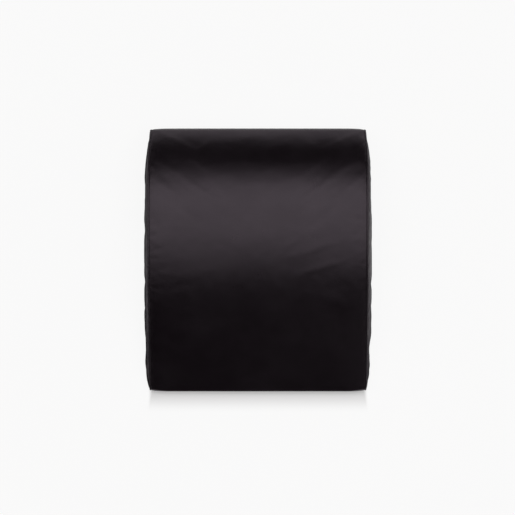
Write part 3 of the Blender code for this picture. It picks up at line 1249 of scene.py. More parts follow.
@dataclass(frozen=True)
class Press:
    """Cloth simulation that lets a panel swell and gather between its seams."""

    pressure: float = 2.0
    slack: float = 0.010
    stiffness: float = 20.0
    bending: float = 2.0
    mass: float = 0.3
    quality: int = 5
    frames: int = 20
    keep: float = 1.0
    cap: float = 0.0006
    blur: int = 6

    def heights(self, grid: np.ndarray) -> np.ndarray:
        """Gathers that the simulation gives, as heights over the grid.

        Args:
            grid: Outer points of the panel, whose border stays in the seams.

        Returns:
            Height for each point, without the broad swell that the form already has.
        """
        rows, columns = grid.shape[:2]
        piece = mesh_piece("pressed_panel", grid, grid_quads(rows, columns), closed=False)
        held = piece.vertex_groups.new(name="seams")
        border = [
            row * columns + column
            for row in range(rows) for column in range(columns)
            if row in (0, rows - 1) or column in (0, columns - 1)
        ]
        held.add(border, 1.0, "REPLACE")
        cloth = piece.modifiers.new("cloth", "CLOTH")
        settings = cloth.settings
        settings.quality = self.quality
        settings.mass = self.mass
        settings.tension_stiffness = settings.compression_stiffness = self.stiffness
        settings.shear_stiffness = self.stiffness / 2
        settings.bending_stiffness = self.bending
        settings.use_pressure = True
        settings.uniform_pressure_force = self.pressure
        settings.vertex_group_mass = held.name
        settings.shrink_min = -self.slack
        settings.effector_weights.gravity = 0
        cloth.collision_settings.use_collision = False
        cloth.point_cache.frame_start = 1
        cloth.point_cache.frame_end = self.frames
        for step in range(1, self.frames + 1):
            bpy.context.scene.frame_set(step)
        activate(piece)
        bpy.ops.object.modifier_apply(modifier=cloth.name)
        moved = points_of(piece).reshape(grid.shape) - grid
        heights = (moved * grid_normals(grid)).sum(axis=-1)
        bpy.data.objects.remove(piece)
        bpy.context.scene.frame_set(1)
        broad = blurred(heights, self.blur)
        fine = np.clip((heights - broad) * self.keep, -self.cap, self.cap)
        LOG.info("pressed: swell %.2f mm, gathers %.2f mm", heights.max() * 1e3, fine.max() * 1e3)
        return fine


def blurred(values: np.ndarray, reach: int) -> np.ndarray:
    """Values of a grid averaged with their neighbours, three times over.

    Args:
        values: Grid of numbers.
        reach: Neighbours taken in to each side.

    Returns:
        The smoothed grid.
    """
    for _ in range(3):
        for axis in (0, 1):
            margins = [(reach, reach) if a == axis else (0, 0) for a in (0, 1)]
            padded = np.pad(values, margins, "edge")
            sums = np.cumsum(np.insert(padded, 0, 0, axis=axis), axis=axis)
            taken = 2 * reach + 1
            upper = np.take(sums, range(taken, sums.shape[axis]), axis=axis)
            lower = np.take(sums, range(0, sums.shape[axis] - taken), axis=axis)
            values = (upper - lower) / taken
    return values


@dataclass(frozen=True)
class SewnPanel:
    """Closed sheet of vinyl whose edges roll over into their seams."""

    name: str
    thickness: float = 0.0010
    turn: float = 0.0005
    ease: float = 0.0001
    turns: int = 3
    seam_reach: float = 0.007

    def outward(self, grid: np.ndarray) -> np.ndarray:
        """Directions in which a grid's border leaves it.

        Args:
            grid: Outer points by row and column.

        Returns:
            Unit vectors for the border's points, zero for the others.
        """
        outward = np.zeros_like(grid)
        outward[0] += grid[0] - grid[1]
        outward[-1] += grid[-1] - grid[-2]
        for column, inner in ((0, 1), (-1, -2)):
            step = grid[:, column] - grid[:, inner]
            outward[:, column] += step / np.linalg.norm(step, axis=-1, keepdims=True)
        for row, inner in ((0, 1), (-1, -2)):
            step = grid[row] - grid[inner]
            step = step / np.linalg.norm(step, axis=-1, keepdims=True)
            outward[row, 1:-1] = step[1:-1]
            for column in (0, -1):
                outward[row, column] += step[column]
        length = np.linalg.norm(outward, axis=-1, keepdims=True)
        return outward / np.where(length > 0, length, 1.0)

    def build(self, grid: np.ndarray) -> bpy.types.Object:
        """Closed body behind a grid of outer points.

        Args:
            grid: Outer points by row and column, normals outwards.

        Returns:
            The panel, subdivided once and shaded smooth.
        """
        normals, outward = grid_normals(grid), self.outward(grid)
        rows, columns = grid.shape[:2]
        outer = grid - outward * (self.turn - self.ease)
        loop = (
            [(0, column) for column in range(columns - 1)]
            + [(row, columns - 1) for row in range(rows - 1)]
            + [(rows - 1, column) for column in range(columns - 1, 0, -1)]
            + [(row, 0) for row in range(rows - 1, 0, -1)]
        )
        ring_rows = np.array([row for row, _ in loop])
        ring_columns = np.array([column for _, column in loop])
        edge, away = outer[ring_rows, ring_columns], outward[ring_rows, ring_columns]
        up = normals[ring_rows, ring_columns]
        points = [outer.reshape(-1, 3)]
        for step in range(1, self.turns + 1):
            angle = math.pi / 2 * step / self.turns
            drop = self.turn * (1 - math.cos(angle))
            points.append(edge + away * self.turn * math.sin(angle) - up * drop)
        points.append((outer - normals * self.thickness).reshape(-1, 3))
        count, around = rows * columns, len(loop)
        faces = []
        back = count + self.turns * around
        for corners in grid_quads(rows, columns):
            faces += [corners, tuple(back + corner for corner in reversed(corners))]
        rings = [[row * columns + column for row, column in loop]]
        for step in range(self.turns):
            start = count + step * around
            rings.append(list(range(start, start + around)))
        rings.append([back + corner for corner in rings[0]])
        for near, far in zip(rings, rings[1:]):
            for index in range(around):
                after = (index + 1) % around
                faces.append((near[after], near[index], far[index], far[after]))
        piece = mesh_piece(self.name, np.vstack(points), faces)
        down, across = border_runs(grid)
        gaps = [down, down[-1] - down, across, across[:, -1:] - across]
        near_seam = 1 - eased(np.minimum.reduce(gaps) / self.seam_reach)
        ones = np.ones(self.turns * around)
        set_attribute(piece, "seam", np.concatenate([near_seam.ravel(), ones, near_seam.ravel()]))
        apply_modifier(piece, "SUBSURF", levels=1, render_levels=1)
        smooth(piece, degrees=60)
        return piece


def graded(half: float, first: float, middle: float, growth: float = 1.45) -> np.ndarray:
    """Places from -half to half, close together at both ends.

    Args:
        half: Distance of each end from the middle.
        first: Spacing at the ends.
        middle: Spacing in the middle.
        growth: How much each spacing is wider than the last.

    Returns:
        The places in order.
    """
    steps, gap, place = [0.0], first, 0.0
    while gap < middle:
        place += gap
        steps.append(place)
        gap *= growth
    count = max(2, round(2 * (half - place) / middle))
    core = np.linspace(-(half - place), half - place, count + 1)
    left = [-half + step for step in steps[:-1]]
    return np.array([*left, *core, *[-value for value in reversed(left)]])


# Sub-assemblies


@dataclass
class Core:
    """Foam block inside the cover."""

    finishes: Finishes
    inset: float = 0.0012
    voxel: float = 0.005

    def build(self) -> None:
        """Foam block with rounded corners, from the CAD solid's form."""
        source = frame["nodes"]["foam_core"]
        block = link("foam_block", source.data.copy())
        with editing(block):
            merge(NEAR)
        middle = points_of(block).mean(axis=0)
        sizes = np.ptp(points_of(block), axis=0)
        set_points(block, middle + (points_of(block) - middle) * (1 - 2 * self.inset / sizes))
        apply_modifier(block, "REMESH", mode="VOXEL", voxel_size=self.voxel)
        apply_modifier(block, "SMOOTH", factor=0.5, iterations=2)
        smooth(block, degrees=60)
        finish_piece(block, self.finishes.foam, Body.MAT, ["foam_core"])


@dataclass
class Cover:
    """Sewn vinyl cover: top, two sides, front end, rear strips, zip end tabs and base."""

    form: MatForm
    finishes: Finishes
    row_spacing: float = 0.0031
    top_columns: Span = (0.0008, 0.0040)
    side_row_shares: Span = (0.02, 0.065)
    end_columns: Span = (0.0012, 0.0040)
    tab_columns: Span = (0.0008, 0.0022)
    base_spacing: Span = (0.0012, 0.0080)
    strip_rows: int = 7
    upper_strip_rows: int = 9
    top_turn: float = 0.0004
    side_turn: float = 0.0006
    base_turn: float = 0.0006
    end_tab_length: float = 0.0190
    front_roll: float = 0.0016
    front_corner: float = 0.022
    seam_close: float = 0.0008
    end_close: float = 0.0009
    base_lip: float = 0.0008
    side_fullness: float = 0.7
    side_share: float = 0.88
    slack_share: float = 0.30
    slack_from: float = 0.095
    slack_run: float = 0.030
    top_press: Press = Press(keep=0.18, cap=0.00012)
    side_press: Press = Press(pressure=1.0, slack=0.014, keep=0.8, cap=0.0007)
    top_puckers: tuple[Puckers, ...] = (
        Puckers(11, 0.00028), Puckers(12, 0.00023), Puckers(13, 0.00018, reach=(0.004, 0.009)),
    )
    side_puckers: tuple[Puckers, ...] = (
        Puckers(40, 0.00070, width=0.0026), Puckers(45, 0.00045, width=0.0026),
    )
    low_side: float = 0.030
    seam_fade: float = 0.010
    top_lumps: tuple[Span, ...] = ((0.00028, 0.075), (0.00011, 0.015), (0.00006, 0.0055))
    side_lumps: Span = (0.0004, 0.045)
    end_lumps: Span = (0.00025, 0.018)
    end_swell: float = 0.0003
    folds: tuple[Ridge, ...] = (
        Ridge(0.045, 0.022, 37, 0.020, 0.0045, 0.00016),
        Ridge(0.075, 0.014, 18, 0.038, 0.0050, 0.00020),
        Ridge(0.088, -0.010, 17, 0.038, 0.0048, 0.00020),
        Ridge(0.098, -0.054, -17, 0.022, 0.0060, 0.00014),
        Ridge(0.088, -0.122, 8, 0.045, 0.0260, 0.00075),
        Ridge(-0.040, -0.126, 0, 0.090, 0.0340, 0.00050),
        Ridge(-0.100, -0.020, 6, 0.040, 0.0100, 0.00014),
        Ridge(-0.128, 0.100, -28, 0.020, 0.0055, 0.00013),
        Ridge(-0.128, 0.124, -36, 0.015, 0.0055, 0.00013),
        Ridge(0.132, 0.112, 30, 0.016, 0.0060, 0.00012),
    )

    def build(self) -> None:
        """Every panel of the cover."""
        line = self.form.skin_line(self.row_spacing)
        self.build_top(line)
        for side in Side:
            self.build_side(side, line)
        self.build_ends()
        self.build_tabs()
        self.build_base()

    def gathers(self, grid: np.ndarray, press: Press) -> np.ndarray:
        """Simulated gathers of a panel."""
        return press.heights(grid)

    def lumps(self, grid: np.ndarray, height: float, size: float) -> np.ndarray:
        """Unevenness of the foam under a panel, with lumps of a height and a width."""
        flat = [noise.noise(Vector(point) / size) for point in grid.reshape(-1, 3)]
        return height * np.array(flat).reshape(grid.shape[:2])

    def end_row(self, y: float, z: float, columns: np.ndarray) -> np.ndarray:
        """Row of points across an end face.

        Args:
            y: Position along the mat.
            z: Height.
            columns: Places across the mat.

        Returns:
            One point for each column.
        """
        x = columns * (1 - self.form.tuck(np.array(y)) / self.form.panel_half)
        turned = y - math.copysign(1, y) * self.form.roll(columns)
        return np.stack([x, turned, np.full_like(columns, z)], axis=-1)

    def top_skin(self, line: Sequence[Station], columns: np.ndarray) -> np.ndarray:
        """Skin with its front seam pulled tight between two rounder corners.

        Args:
            line: Stations over the mat.
            columns: Places across it.

        Returns:
            Grid of points, seams not included.
        """
        form = self.form
        tight = form.skin(form.skin_line(self.row_spacing, self.front_roll), columns, 0)
        corner = eased((form.panel_half - np.abs(columns)) / self.front_corner)[None, :, None]
        return form.skin(line, columns, 0) * (1 - corner) + tight * corner

    def build_top(self, line: Sequence[Station]) -> None:
        """Panel over the arch, from the front seam to the rear seam.

        Args:
            line: Stations over the mat.
        """
        form = self.form
        columns = graded(form.panel_half + self.seam_close, *self.top_columns)
        rows = [self.end_row(-form.half_length, form.front_seam_z + form.fit_gap / 2, columns)]
        rows += list(self.top_skin(line, columns))
        rows.append(self.end_row(form.half_length, form.rear_seam_z + form.fit_gap / 2, columns))
        grid = np.array(rows)
        down, across = border_runs(grid)
        right, rear = across[:, -1:] - across, down[-1:] - down
        heights = self.gathers(grid, self.top_press)
        for puckers, runs in zip(self.top_puckers, ((down, across), (down, right), (across, rear))):
            heights += puckers.heights(*runs)
        for fold in self.folds:
            heights += fold.heights(grid[..., 0], grid[..., 1])
        inner = eased(np.minimum.reduce([across, right, down, rear]) / self.seam_fade)
        for height, size in self.top_lumps:
            heights += self.lumps(grid, height, size) * inner
        grid = grid + grid_normals(grid) * heights[..., None]
        panel = SewnPanel("top_cover", turn=self.top_turn).build(grid)
        finish_piece(panel, self.finishes.cover, Body.MAT, ["top_panel"])

    def build_side(self, side: Side, line: Sequence[Station]) -> None:
        """Bulging panel of one side.

        Args:
            side: Which side.
            line: Stations over the mat.
        """
        form = self.form
        top = form.skin(line, np.array([form.half_seam]), form.side_depth)[:, 0]
        shares = (graded(0.5, *self.side_row_shares) + 0.5)[None, :]
        y, top_z = top[:, 1:2], top[:, 2:3]
        z = form.side_base_z + (top_z - form.side_base_z) * shares
        bow = form.bulge(y, shares, self.side_fullness) * self.side_share
        if side is Side.RIGHT:
            bow = bow * (1 - self.slack_share * eased((-y - self.slack_from) / self.slack_run))
        x = side.value * (form.half_seam - form.tuck(y) + bow)
        grid = np.stack([x, y + 0 * shares, z], axis=-1)
        if side is Side.LEFT:
            grid = grid[::-1]
        down, across = border_runs(grid)
        upper = across[:, -1:] - across
        heights = self.gathers(grid, self.side_press)
        room = eased(across[:, -1:] / self.low_side)
        for puckers, away in zip(self.side_puckers, (upper, across)):
            own = replace(puckers, seed=puckers.seed + side.value)
            heights += own.heights(down, away) * room
        heights += self.lumps(grid, *self.side_lumps) * room
        grid = grid + grid_normals(grid) * heights[..., None]
        panel = SewnPanel(f"side_cover_{side.word}", turn=self.side_turn).build(grid)
        finish_piece(panel, self.finishes.cover, Body.MAT, [f"side_panel_{side.word}"])

    def end_panel(self, name: str, node: str, places: Sequence[Span]) -> None:
        """Strip across an end face.

        Args:
            name: Piece's name.
            node: CAD node that it stands for.
            places: Y and Z of its rows, the lowest first.
        """
        columns = graded(self.form.panel_half + self.end_close, *self.end_columns)
        grid = np.array([self.end_row(y, z, columns) for y, z in places])
        if places[0][0] > 0:
            grid = grid[:, ::-1]
        down, _ = border_runs(grid)
        share = np.sin(math.pi * down / down[-1:])
        lift = share * (self.end_swell + self.lumps(grid, *self.end_lumps))
        panel = SewnPanel(name).build(grid + grid_normals(grid) * lift[..., None])
        finish_piece(panel, self.finishes.cover, Body.MAT, [node])

    def build_ends(self) -> None:
        """Front end panel and the two strips that the zip is sewn to."""
        form = self.form
        half_gap, base = form.fit_gap / 2, form.core_base_z
        heights = np.linspace(base, form.front_seam_z - half_gap, self.strip_rows)
        places = [(-form.half_length, z) for z in heights]
        self.end_panel("front_end_cover", "front_end_panel", places)
        heights = np.linspace(base, form.chain_z - form.opening_half, self.strip_rows)
        places = [(form.rear_face_y, z) for z in heights]
        self.end_panel("rear_strip_lower", "rear_lower_strip", places)
        start, end = form.chain_z + form.opening_half, form.rear_seam_z - half_gap
        places = [(form.strip_y(z), z) for z in np.linspace(start, end, self.upper_strip_rows)]
        self.end_panel("rear_strip_upper", "rear_upper_strip", places)

    def build_tabs(self) -> None:
        """Covers over the two ends of the zip."""
        form = self.form
        half = form.opening_half - form.fit_gap
        drawn_half = form.panel_half - form.rear_tuck
        inner_x = form.panel_half * (1 - self.end_tab_length / drawn_half)
        middle, reach = (form.panel_half + inner_x) / 2, (form.panel_half - inner_x) / 2
        for side in Side:
            columns = (side.value * middle + graded(reach, *self.tab_columns))[::-1]
            heights = np.linspace(form.chain_z - half, form.chain_z + half, self.strip_rows)
            grid = np.array([self.end_row(form.rear_face_y, z, columns) for z in heights])
            panel = SewnPanel(f"zip_end_cover_{side.word}").build(grid)
            finish_piece(panel, self.finishes.cover, Body.MAT, [f"zip_end_tab_{side.word}"])

    def build_base(self) -> None:
        """Grippy panel that the mat stands on."""
        form = self.form
        front, rear = self.base_lip - form.half_length, form.rear_face_y
        ys = (front + rear) / 2 + graded((rear - front) / 2, *self.base_spacing)
        columns = graded(form.panel_half, *self.base_spacing)
        rows = []
        for y in ys:
            x = columns * (1 - form.tuck(np.array([y])) / form.panel_half)
            rows.append(np.stack([x, np.full_like(x, y), np.zeros_like(x)], axis=-1))
        grid = np.array(rows)
        if grid_normals(grid)[0, 0, 2] > 0:
            grid = grid[::-1]
        thickness = form.base_vinyl - form.fit_gap
        panel = SewnPanel("base_cover", thickness=thickness, turn=self.base_turn).build(grid)
        finish_piece(panel, self.finishes.grip, Body.MAT, ["base_panel"])


@dataclass
class Piping:
    """Welt cords in the two side seams, each one loop round its side panel."""

    form: MatForm
    finishes: Finishes
    sides: int = 16
    spacing: float = 0.0013
    ripple: float = 0.00010
    squeeze: float = 0.00006
    wrinkle: float = 0.0062
    wrinkle_spread: Span = (0.5, 1.5)
    twist: float = 0.0171
    twist_share: float = 0.6
    wear: float = 0.35
    bend_steps: int = 8
    seed: int = 70

    def path(self, side: Side) -> np.ndarray:
        """Middle line of one welt, a closed loop.

        Args:
            side: Which side.

        Returns:
            Points spaced evenly along it.
        """
        form = self.form
        line = form.skin_line(self.spacing)
        top = form.skin(line, np.array([form.half_seam]), form.vinyl / 2)[:, 0, 1:]
        reach = form.piping_reach
        rear_y, front_y = top[-1, 0], top[0, 0]
        turns = np.linspace(0, math.pi / 2, self.bend_steps + 1)
        drawn_in, heights = reach - reach * np.cos(turns), 2 * reach - reach * np.sin(turns)
        rear = np.stack([rear_y - drawn_in, heights], axis=-1)
        front = np.stack([front_y + drawn_in, heights], axis=-1)[::-1]
        loop = np.vstack([top, rear, front])
        loop = np.vstack([loop, loop[:1]])
        run = np.concatenate([[0], np.cumsum(np.linalg.norm(np.diff(loop, axis=0), axis=-1))])
        even = np.linspace(0, run[-1], int(run[-1] / self.spacing))[:-1]
        y, z = np.interp(even, run, loop[:, 0]), np.interp(even, run, loop[:, 1])
        x = side.value * (form.piping_x - form.tuck(y))
        return np.stack([x, y, z], axis=-1)

    def build(self) -> None:
        """Both welts, wrapped in vinyl that wrinkles round their bends."""
        for side in Side:
            path = self.path(side)
            ahead = np.roll(path, -1, axis=0) - np.roll(path, 1, axis=0)
            ahead /= np.linalg.norm(ahead, axis=-1, keepdims=True)
            out = np.cross(ahead, np.array([1.0, 0, 0]))
            out /= np.linalg.norm(out, axis=-1, keepdims=True)
            third = np.cross(ahead, out)
            turns = np.arange(self.sides) * 2 * math.pi / self.sides
            run = np.arange(len(path)) * self.spacing
            rng = np.random.default_rng(self.seed + side.value)
            phase = np.cumsum(rng.uniform(*self.wrinkle_spread, len(path))) * self.spacing
            wave = np.sin(phase[:, None] * 2 * math.pi / self.wrinkle + turns[None, :])
            spiral = np.sin(run[:, None] * 2 * math.pi / self.twist - turns[None, :] * 2)
            wave += self.twist_share * spiral
            radius = self.form.piping_radius - self.squeeze + self.ripple * 0.5 * wave
            spokes = np.cos(turns)[None, :, None] * out[:, None]
            spokes = spokes + np.sin(turns)[None, :, None] * third[:, None]
            points = path[:, None] + radius[..., None] * spokes
            faces = grid_quads(len(path), self.sides, wrapped=True)
            piece = mesh_piece(f"welt_{side.word}", points, faces)
            set_attribute(piece, "seam", np.full(len(piece.data.vertices), self.wear))
            smooth(piece, degrees=80)
            finish_piece(piece, self.finishes.welt, Body.MAT, [f"piping_{side.word}"])


@dataclass
class Zip:
    """Moulded zip in the rear end: two tapes, two rows of teeth, and the stops at both ends.

    Shapes are made about the middle of the chain: X along it, Y outwards, Z across it.
    """

    form: MatForm
    finishes: Finishes
    chain_end: float = 0.1244
    half_width: float = 0.0028
    half_depth: float = 0.0012
    bead: float = 0.0010
    tooth_width: float = 0.0013
    tooth_tip: float = -0.0008
    first_tooth: float = -0.1238
    last_tooth: float = 0.1201
    tape_reach: float = 0.1314
    tape_edge: float = 0.0101
    tape_half: float = 0.00022
    tape_cuts: int = 159
    tape_shares: tuple[float, ...] = (0.03, 0.06, 0.09, 0.12, 0.16, 0.5, 0.88, 0.92, 0.96)
    hem_inset: float = 0.0003
    hem_half: float = 0.0004
    cord_swell_share: float = 1.1
    hem_swell_share: float = 0.25
    wave: float = 0.00004
    wave_turns: Span = (260.0, 500.0)
    wave_run: float = 0.002
    neck_share: float = 0.35
    head_share: float = 0.5
    clamp_share: float = 0.72
    neck_depth_share: float = 0.8
    head_end: float = 0.0003
    neck_start: float = 0.0006
    neck_end: float = 0.0013
    clamp_start: float = 0.0017
    tooth_round: float = 0.00013
    stop_length: float = 0.0040
    stop_half_depth: float = 0.0014
    stop_round: float = 0.00022
    stop_end: float = 0.0013
    stop_rim: float = 0.0002
    waist_share: float = 0.88
    groove_shares: Span = (0.34, 0.66)
    groove_edge: float = 0.00035
    groove_half: float = 0.0001
    groove_size_shares: Span = (0.82, 0.93)

    @property
    def middle(self) -> Point:
        """Middle of the chain."""
        tape_depth = self.form.vinyl + 2 * self.form.fit_gap
        return (0.0, self.form.rear_face_y - tape_depth, self.form.chain_z)

    def build(self) -> None:
        """Tapes, teeth and stops."""
        for row in Row:
            self.build_tape(row)
            self.build_teeth(row)
            self.build_top_stop(row)
        self.build_bottom_stop()

    def build_tape(self, row: Row) -> None:
        """Woven tape with a cord along the edge that the teeth hold.

        Args:
            row: Which half of the zip.
        """
        inner = self.half_width - self.bead
        heights = sorted((row.value * inner, row.value * self.tape_edge))
        low = (-self.tape_reach, -self.tape_half, heights[0])
        high = (self.tape_reach, self.tape_half, heights[1])
        tape = box_piece(f"tape_{row.word}", low, high)
        with editing(tape):
            choose(tape, Pick.EDGE, lambda at, way: abs(way.x) > ALONG)
            bpy.ops.mesh.subdivide(number_cuts=self.tape_cuts)
            for share in self.tape_shares:
                cut_z(row.value * (inner + (self.tape_edge - inner) * share))
        points = points_of(tape)
        across = row.value * points[:, 2]
        cord_half = self.bead / 2
        cord = np.clip(1 - (np.abs(across - inner - cord_half) / cord_half) ** 2, 0, None)
        hem_off = np.abs(across - self.tape_edge + self.hem_inset)
        hem = np.clip(1 - (hem_off / self.hem_half) ** 2, 0, None)
        swells = self.cord_swell_share * np.sqrt(cord), self.hem_swell_share * np.sqrt(hem)
        swell = np.maximum(*swells)
        edge = np.clip((across - self.half_width) / self.wave_run, 0, 1)
        turns_along, turns_across = self.wave_turns
        wave = self.wave * np.sin(points[:, 0] * turns_along + across * turns_across) * edge
        points[:, 1] = points[:, 1] * (1 + swell) + wave
        set_points(tape, points + np.array(self.middle))
        smooth(tape, degrees=50)
        finish_piece(tape, self.finishes.tape, Body.MAT, [f"zip_tape_{row.word}"])

    def tooth(self) -> bpy.types.Object:
        """One tooth of the upper row: a clamp on the tape's cord, a neck and a head.

        Returns:
            The tooth, about the origin.
        """
        half = self.neck_share * self.tooth_width
        low = (-half, -self.half_depth, self.tooth_tip)
        tooth = box_piece("tooth", low, (half, self.half_depth, self.half_width))
        below, above = self.head_end + NEAR, self.clamp_start - NEAR
        with editing(tooth):
            cut_z(self.head_end, self.neck_start, self.neck_end, self.clamp_start)
            choose(tooth, Pick.POINT, lambda at, way: at.z < below)
            widen((self.head_share / self.neck_share, 1, 1))
            choose(tooth, Pick.POINT, lambda at, way: at.z > above)
            widen((self.clamp_share / self.neck_share, 1, 1))
            choose(tooth, Pick.POINT, lambda at, way: below < at.z < above)
            widen((1, self.neck_depth_share, 1))
        soften(tooth, self.tooth_round, segments=1, degrees=60)
        return tooth

    def build_teeth(self, row: Row) -> None:
        """Row of teeth along the chain, each moulded to the same pattern.

        Args:
            row: Which half of the zip.
        """
        pitch = 2 * (self.tooth_width + self.form.fit_gap)
        start = self.first_tooth + (0 if row is Row.UPPER else pitch / 2)
        turn = Matrix.Rotation(0 if row is Row.UPPER else math.pi, 4, "Y")
        places, left = [], start
        while left + self.tooth_width < self.last_tooth + NEAR:
            middle = Vector(self.middle) + Vector((left + self.tooth_width / 2, 0, 0))
            places.append(Matrix.Translation(middle) @ turn)
            left += pitch
        teeth = repeat(f"teeth_{row.word}", self.tooth(), places)
        smooth(teeth, degrees=30)
        finish_piece(teeth, self.finishes.plastic, Body.MAT, [f"zip_teeth_{row.word}"])

    def finish_stop(self, stop: bpy.types.Object) -> None:
        """Round a stop, put it on the chain and dress it.

        Args:
            stop: Stop made about the chain's middle.
        """
        soften(stop, self.stop_round)
        smooth(stop, degrees=40)
        shift(stop, self.middle)
        finish_piece(stop, self.finishes.plastic, Body.MAT, [f"zip_{stop.name}"])

    def build_top_stop(self, row: Row) -> None:
        """Clip at the closed end of one tape, with a waist and a sunk face.

        Args:
            row: Which half of the zip.
        """
        start, end = self.chain_end, self.chain_end + self.stop_length
        heights = sorted((row.value * self.form.fit_gap / 2, row.value * self.half_width))
        low = (start, -self.stop_half_depth, heights[0])
        stop = box_piece(f"top_stop_{row.word}", low, (end, self.stop_half_depth, heights[1]))
        near, far = start + self.stop_end, end - self.stop_end
        with editing(stop):
            cut_x(near, far)
            choose(stop, Pick.FACE, lambda at, way: abs(way.y) > ALONG and near < at.x < far)
            bpy.ops.mesh.inset(thickness=self.stop_rim, use_individual=True)
            widen((1, self.waist_share, 1))
        self.finish_stop(stop)

    def build_bottom_stop(self) -> None:
        """Clip that joins both tapes at the open end, ribbed across."""
        start, end = -self.chain_end - self.stop_length, -self.chain_end
        low = (start, -self.stop_half_depth, -self.half_width)
        stop = box_piece("bottom_stop", low, (end, self.stop_half_depth, self.half_width))
        grooves = [start + self.stop_length * share for share in self.groove_shares]
        edge, half = self.groove_edge, self.groove_half
        with editing(stop):
            for groove in grooves:
                cut_x(groove - edge, groove - half, groove + half, groove + edge)
            choose(
                stop, Pick.POINT,
                lambda at, way: any(abs(at.x - groove) < 2 * half for groove in grooves),
            )
            widen((1, *self.groove_size_shares))
        self.finish_stop(stop)


@dataclass
class Slider:
    """Slider and its pull tab, made about the slider's middle as the chain is."""

    zip: Zip
    finishes: Finishes
    place_x: float = 0.1193
    length: float = 0.0096
    half_width: float = 0.0038
    plate_inner: float = 0.0015
    plate_outer: float = 0.0024
    flange: float = 0.0007
    flange_gap: float = 0.0006
    shoulder: float = 0.0008
    tail_share: float = 0.88
    rail_share: float = 0.955
    wedge_front: float = 0.0045
    wedge_length: float = 0.0034
    wedge_half: float = 0.0012
    crown_half: float = 0.0011
    crown_span: float = 0.0035
    crown_top: float = 0.0052
    crown_bar: float = 0.0010
    tab_axis: float = 0.0033
    tab_half_depth: float = 0.0006
    tab_length: float = 0.0220
    tab_end_half: float = 0.0036
    tab_head_half: float = 0.0025
    hole_end: float = 0.00428
    hole_half: float = 0.0014
    corner_round: float = 0.0003
    plate_round: float = 0.00020
    wedge_sink: float = 0.0001
    wedge_point_share: float = 0.12
    wedge_round: float = 0.00018
    crown_sink: float = 0.0003
    crown_steps: int = 16
    crown_round: float = 0.00022
    tab_end_share: float = 0.98
    tab_end_steps: int = 9
    tab_round: float = 0.00016
    grip: Span = (-0.0185, -0.0085)
    grip_rim: float = 0.0001
    grip_depth_share: float = 0.62
    ribs: int = 5
    rib_half: Point = (0.00030, 0.00056, 0.00115)
    rib_round: float = 0.00012

    @property
    def middle(self) -> Point:
        """Middle of the slider."""
        return (self.place_x, *self.zip.middle[1:])

    def build(self) -> None:
        """Slider body and pull tab."""
        parts = [self.plate(1), self.plate(-1), self.wedge(), self.crown()]
        slider = join("slider_body", parts)
        smooth(slider, degrees=35)
        shift(slider, self.middle)
        finish_piece(slider, self.finishes.enamel, Body.SLIDER, ["zip_slider"])
        self.build_tab()

    def plate(self, sign: int) -> bpy.types.Object:
        """Plate with its two side flanges.

        Args:
            sign: 1 for the outer plate, -1 for the inner one.

        Returns:
            The plate.
        """
        half, wide = self.length / 2, self.half_width
        low_y, high_y = sorted((sign * self.plate_inner, sign * self.plate_outer))
        plate = box_piece("slider_plate", (-half, low_y, -wide), (half, high_y, wide))
        rail = wide - self.flange
        drop = self.plate_inner - self.flange_gap
        with editing(plate):
            cut_z(-rail, rail)
            cut_x(self.shoulder)
            choose(plate, Pick.FACE, lambda at, way: way.y * sign < -ALONG and abs(at.z) > rail)
            bpy.ops.mesh.extrude_region_move(TRANSFORM_OT_translate={"value": (0, -sign * drop, 0)})
            choose(plate, Pick.POINT, lambda at, way: at.x < NEAR - half and abs(at.z) > wide - NEAR)
            widen((1, 1, self.tail_share))
            choose(plate, Pick.POINT, lambda at, way: at.x < NEAR - half and abs(at.z) < rail + NEAR)
            widen((1, 1, self.rail_share))
            tail = wide * self.tail_share
            choose(
                plate, Pick.EDGE,
                lambda at, way: abs(way.y) > ALONG and abs(at.x) > half - NEAR
                and abs(at.z) > (wide if at.x > 0 else tail) - NEAR,
            )
            bpy.ops.mesh.bevel(offset=self.corner_round, segments=3)
        soften(plate, self.plate_round)
        return plate

    def wedge(self) -> bpy.types.Object:
        """Post between the plates that parts the two rows.

        Returns:
            The post.
        """
        reach = self.plate_inner + self.wedge_sink
        back = self.wedge_front - self.wedge_length
        low = (back, -reach, -self.wedge_half)
        post = box_piece("slider_wedge", low, (self.wedge_front, reach, self.wedge_half))
        with editing(post):
            cut_x(self.wedge_front - self.wedge_length / 2)
            choose(post, Pick.POINT, lambda at, way: at.x < back + NEAR)
            widen((1, 1, self.wedge_point_share), (back, 0, 0))
        soften(post, self.wedge_round)
        return post

    def crown(self) -> bpy.types.Object:
        """Arched loop on the outer plate that holds the pull tab.

        Returns:
            The loop.
        """
        foot = self.plate_outer - self.crown_sink
        bpy.ops.object.select_all(action="DESELECT")
        middle = (self.crown_span - self.crown_bar / 2, foot, 0)
        bpy.ops.mesh.primitive_plane_add(size=1, location=middle, rotation=(math.pi / 2, 0, 0))
        crown = bpy.context.object
        crown.name = "slider_crown"
        crown.scale = (self.crown_bar, 2 * self.crown_half, 1)
        bpy.ops.object.transform_apply(location=True, rotation=True, scale=True)
        with editing(crown):
            bpy.ops.mesh.select_all(action="SELECT")
            bpy.ops.mesh.spin(
                steps=self.crown_steps, angle=-math.pi, center=(0, foot, 0), axis=(0, 0, 1)
            )
            merge(MERGED)
            bpy.ops.mesh.normals_make_consistent(inside=False)
            rise = (self.crown_top - foot) / self.crown_span
            widen((1, rise, 1), (0, foot, 0))
        soften(crown, self.crown_round, degrees=50)
        return crown

